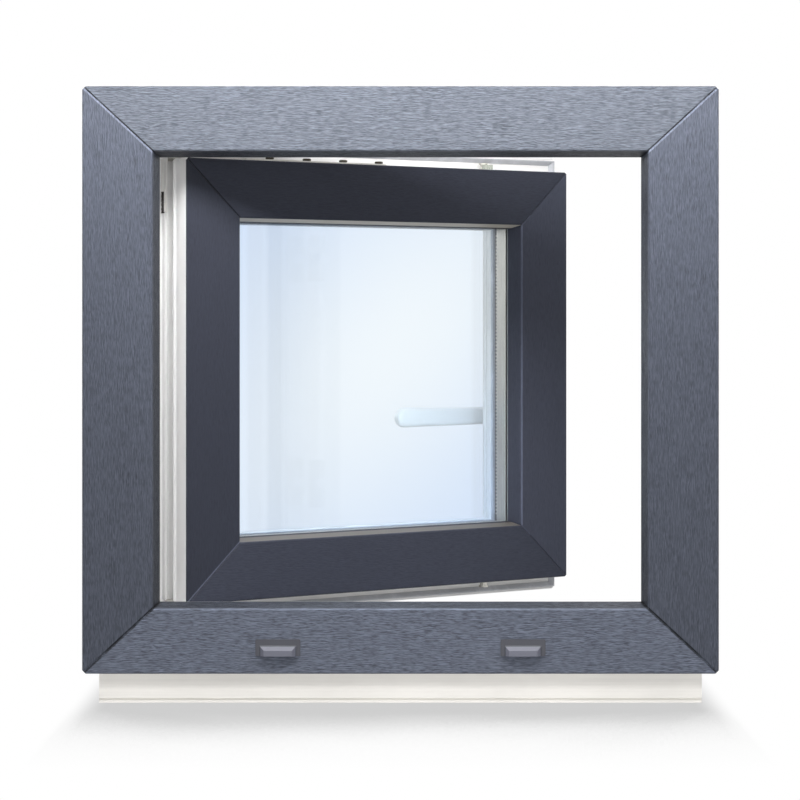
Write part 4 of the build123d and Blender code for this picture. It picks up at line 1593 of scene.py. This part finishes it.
@dataclass(frozen=True)
class PocketShade:
    """Dark notched block in the upper hinge strap's pocket, drawn in the sash's axes: painted
    shade.

    Its section is a rounded square, |x|^4 + |y|^4 = 1, whose size over the height follows
    1 - notch * sin(pi * notches * share) squared and closes at both ends.

    Attributes:
        middle: Its middle.
        half: Its half sizes across, in depth and upwards.
        notches: How many notches run round it.
        notch: Their depth, as a share of its half size.
        steps: Rows of points along each notch.
        sides: Points round each row.
    """

    middle: Point = (-257.2 * MM, 46.0 * MM, 187.1 * MM)
    half: Point = (2.3 * MM, 2.8 * MM, 11.3 * MM)
    notches: int = 5
    notch: float = 0.12
    steps: int = 8
    sides: int = 32

    def grid(self) -> np.ndarray:
        """Give the catch's points.

        Returns:
            Array of shape (rows, sides, 3).
        """
        rows = np.linspace(0, 1, self.steps * self.notches + 1)
        share = np.concatenate([[0.0], rows, [1.0]])
        size = 1 - self.notch * np.sin(np.pi * self.notches * share) ** 2
        size[0] = size[-1] = 0.0
        angles = np.linspace(0, 2 * np.pi, self.sides, endpoint=False)
        radius = (np.cos(angles) ** 4 + np.sin(angles) ** 4) ** -0.25
        x = size[:, None] * radius * np.cos(angles)
        y = size[:, None] * radius * np.sin(angles)
        z = np.broadcast_to(2 * share[:, None] - 1, x.shape)
        return np.stack([x, y, z], axis=-1) * np.array(self.half) + np.array(self.middle)


@dataclass
class Hardware:
    """Locking gear, hinges and handle, with their screws and rivets.

    Attributes:
        finishes: The window's finishes.
        sizes: The shared sizes.
        sash_place: Where the sash stands.
        strike_screw_offset: From a strike plate's middle to each screw.
        hinge_screw_offset: The same on a hinge's plate, up and down.
        plate_inset: From a hinge plate's corner to its screws, across and in depth.
        leaf_screw: From the hinge axis to a leaf's screws: across, out of the sash's room face,
            and up and down from the leaf's middle.
        rivet_places: Along the sash's top from its middle, where the stay arm is riveted.
        arm_top: From the sash's edge to the stay arm's upper face.
        groove_middle: The hardware groove's middle from the sash's outside face.
        screw: A screw's head.
        rivet: A rivet's head and shank.
        guide: The guide at the head's cam.
        pocket_shade: A dark block below the hinge strap: painted shade in its pocket.
    """

    finishes: Finishes
    sizes: Sizes
    sash_place: Place
    strike_screw_offset: float = 21.0 * MM
    hinge_screw_offset: float = 13.0 * MM
    plate_inset: Span = (6.5 * MM, 3.0 * MM)
    leaf_screw: Point = (18.0 * MM, 2.4 * MM, 9.0 * MM)
    rivet_places: tuple[float, ...] = (15.0 * MM, -33.5 * MM, -82.0 * MM, -130.5 * MM)
    arm_top: float = 3.0 * MM
    groove_middle: float = 35.0 * MM
    screw: Screw = Screw()
    rivet: Turned = Turned(
        radii=(0.0, 2.8, 2.8, 4.2, 4.6, 4.6, 4.2, 3.2, 0.0),
        heights=(-2.6, -2.6, 0.4, 0.6, 0.9, 2.3, 2.8, 3.1, 3.2),
    )
    guide: Guide = Guide()
    pocket_shade: PocketShade = PocketShade()

    def dress(self, nodes: Mapping[str, bpy.types.Object]) -> None:
        """Give the hardware's nodes their finishes.

        Args:
            nodes: The nodes' objects by name.
        """
        give = self.finishes.dress
        give(
            nodes, "bright_steel",
            *(n for n in nodes if n.startswith(("faceplate", "locking_cam"))),
            "stay_arm", "lower_hinge_pin", "upper_hinge_pin",
        )
        give(nodes, "cast_zinc", *(n for n in nodes if n.startswith("strike_plate")))
        ends = ("bearing", "barrel", "strap")
        give(
            nodes, "white_coated_metal",
            *(n for n in nodes if n.startswith("handle") or n.endswith(ends)),
        )

    def build(self) -> None:
        """Make the screws, the stay arm's rivets, the guide and the dark block of painted shade.
        """
        made = self.finishes.made
        place_piece(self._strike_screws(), made["bright_steel"])
        place_piece(self._hinge_screws(), made["bright_steel"])
        place_piece(self._rivets(), made["dark_steel"])
        edge = self.sizes.sash_height / 2
        guide = self.sash_place.to_row(self.guide.grid(edge))
        place_piece(solid_mesh("cam_guide_head", [guide]), made["guide_plastic"])
        # A dark block in the pocket below the hinge strap: painted shade.
        pocket_shade = self.sash_place.to_row(self.pocket_shade.grid())
        place_piece(solid_mesh("hinge_pocket_shade", [pocket_shade]), made["pocket_shade_plastic"])

    def _strike_screws(self) -> bpy.types.Mesh:
        """Two screws in each strike plate, on the face that looks into the frame's opening.

        Returns:
            Their mesh.
        """
        grids = []
        for count, (name, axis, run) in enumerate(
            (
                ("upper", -ACROSS, UP), ("lower", -ACROSS, UP),
                ("head", -UP, ACROSS), ("sill", UP, ACROSS),
            )
        ):
            low, high = corners_of(f"strike_plate_{name}")
            face = (low + high) / 2 + axis * (abs(axis) @ (high - low)) / 2
            for step in (-1, 1):
                turn = 0.7 * count + 0.4 * step
                centre = face + run * (step * self.strike_screw_offset)
                grids.append(stood_on(self.screw.grid(turn), centre, axis, run))
        return solid_mesh("strike_screws", grids)

    def _hinge_screws(self) -> bpy.types.Mesh:
        """Two screws in each hinge plate, beyond the bearing's arm, and two in each leaf.

        Returns:
            Their mesh.
        """
        grids = []
        across, out, offset = self.leaf_screw
        axis = self.sash_place.heading(ROOM)
        for count, name in enumerate(("lower", "upper")):
            low, high = corners_of(f"{name}_hinge_bearing")
            x, y = low[:2] + self.plate_inset
            plate = np.array([x, y, (low[2] + high[2]) / 2])
            for step in (-1, 1):
                centre = plate + UP * (step * self.hinge_screw_offset)
                turn = 0.5 + count + step
                grids.append(stood_on(self.screw.grid(turn), centre, ROOM, UP))
            low, high = corners_of(f"{name}_hinge_barrel")
            middle = (low[2] + high[2]) / 2 - self.sash_place.pivot[2]
            x, y = self.sash_place.pivot_inside[0] + across, self.sizes.sash_depth + out
            for step in (-1, 1):
                centre = self.sash_place.to_row(np.array([x, y, middle + step * offset]))
                turn = 0.2 + count - step
                grids.append(stood_on(self.screw.grid(turn), centre, axis, UP))
        return solid_mesh("hinge_screws", grids)

    def _rivets(self) -> bpy.types.Mesh:
        """Flat-headed rivets through the stay arm's holes.

        Returns:
            Their mesh.
        """
        along = self.sash_place.heading(ACROSS)
        top = self.sizes.sash_height / 2 + self.arm_top
        grids = []
        for x in self.rivet_places:
            centre = self.sash_place.to_row(np.array([x, self.groove_middle, top]))
            grids.append(stood_on(self.rivet.grid(), centre, UP, along))
        return solid_mesh("stay_rivets", grids)


@dataclass(frozen=True)
class Lamp:
    """A soft rectangular lamp that looks at a point.

    Attributes:
        name: Its name.
        place: Where it hangs.
        target: The point it looks at.
        size: Its width and height.
        power: Its power in watts.
    """

    name: str
    place: Point
    target: Point
    size: Span
    power: float

    def build(self) -> None:
        """Hang the lamp."""
        data = bpy.data.lights.new(self.name, "AREA")
        data.shape = "RECTANGLE"
        data.size, data.size_y = self.size
        data.energy = self.power
        lamp = bpy.data.objects.new(self.name, data)
        look = Vector(self.target) - Vector(self.place)
        lamp.location = self.place
        lamp.rotation_euler = look.to_track_quat("-Z", "Y").to_euler()
        bpy.context.scene.collection.objects.link(lamp)


@dataclass
class Studio:
    """Floor, light and camera.

    Attributes:
        floor_reach: From the floor's middle to its edges.
        ambient: Level of the light that comes from all sides.
        lamps: The lamps. The two strips above the frame's front light it less from top to foot.
        camera_place: Where the camera stands.
        lens: Its focal length in millimetres.
        sensor: Its sensor's width in millimetres.
        shift: How far the picture is moved across and upwards, in widths.
    """

    floor_reach: float = 30.0
    ambient: float = 0.18
    lamps: tuple[Lamp, ...] = (
        Lamp("high_strip", (0.0, -0.70, 1.10), FRAME_FRONT, (1.6, 0.30), 3.6),
        Lamp("low_strip", (0.0, -0.32, 0.77), FRAME_FRONT, (1.0, 0.12), 6.8),
        Lamp("front_fill", (0.0, -3.30, 0.60), WINDOW_MIDDLE, (1.2, 1.2), 20.0),
        Lamp("front_right_lamp", (0.65, -1.70, 0.40), SASH_MIDDLE, (0.5, 0.5), 2.5),
        Lamp("room_left_lamp", (-1.0, 1.1, 0.8), (-0.1, 0.1, 0.33), (0.8, 0.8), 5.0),
        Lamp("room_right_lamp", (1.2, 1.3, 0.9), SASH_MIDDLE, (1.0, 1.0), 10.0),
        Lamp("room_top_lamp", (0.2, 0.9, 1.5), (0.0, 0.2, 0.33), (1.4, 0.8), 2.0),
    )
    camera_place: Point = (0.0, -2.796, 0.3977)
    lens: float = 121.8
    sensor: float = 36.0
    shift: Span = (-0.0006, -0.108)

    def build(self) -> None:
        """Set the stage."""
        self._floor()
        self._world()
        for lamp in self.lamps:
            lamp.build()
        self._camera()
        bpy.context.scene.view_settings.view_transform = "Standard"

    def _floor(self) -> None:
        """A wide flat floor under the window."""
        corners = np.array([[-1, -1, 0], [1, -1, 0], [1, 1, 0], [-1, 1, 0]], float)
        mesh = bpy.data.meshes.new("floor")
        mesh.from_pydata(self.floor_reach * corners, [], [(0, 1, 2, 3)])
        mesh.materials.append(Backdrop().material())
        floor = bpy.data.objects.new("floor", mesh)
        bpy.context.scene.collection.objects.link(floor)

    def _world(self) -> None:
        """White where it is seen directly, in gloss or through glass, and grey as light."""
        world = bpy.data.worlds.new("studio")
        bpy.context.scene.world = world
        graph = Graph(world, "ShaderNodeOutputWorld")
        strength = graph.node(
            "ShaderNodeMapRange", None,
            {"Value": graph.seen(), "To Min": self.ambient, "To Max": 1.0},
        )
        back = graph.node(
            "ShaderNodeBackground", None,
            {"Color": (*WHITE, 1.0), "Strength": graph.term(strength)},
        )
        graph.finish(graph.term(back))

    def _camera(self) -> None:
        """A level camera in front of the window."""
        data = bpy.data.cameras.new("camera")
        data.lens = self.lens
        data.sensor_width = self.sensor
        data.shift_x, data.shift_y = self.shift
        camera = bpy.data.objects.new("camera", data)
        camera.location = self.camera_place
        camera.rotation_euler = (math.pi / 2, 0.0, 0.0)
        bpy.context.scene.collection.objects.link(camera)
        bpy.context.scene.camera = camera


def main() -> None:
    """Load the frame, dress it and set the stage."""
    logging.basicConfig(level=logging.INFO, format="%(name)s %(message)s")
    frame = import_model()
    sizes = Sizes()
    finishes = Finishes(sizes, sizes.frame_place(), sizes.sash_place())
    finishes.build()
    nodes = frame["nodes"]
    OuterFrame(finishes).dress(nodes)
    Sash(finishes).dress(nodes)
    hardware = Hardware(finishes, sizes, finishes.sash_place)
    hardware.dress(nodes)
    hardware.build()
    Studio().build()


if __name__ == "__main__":
    main()
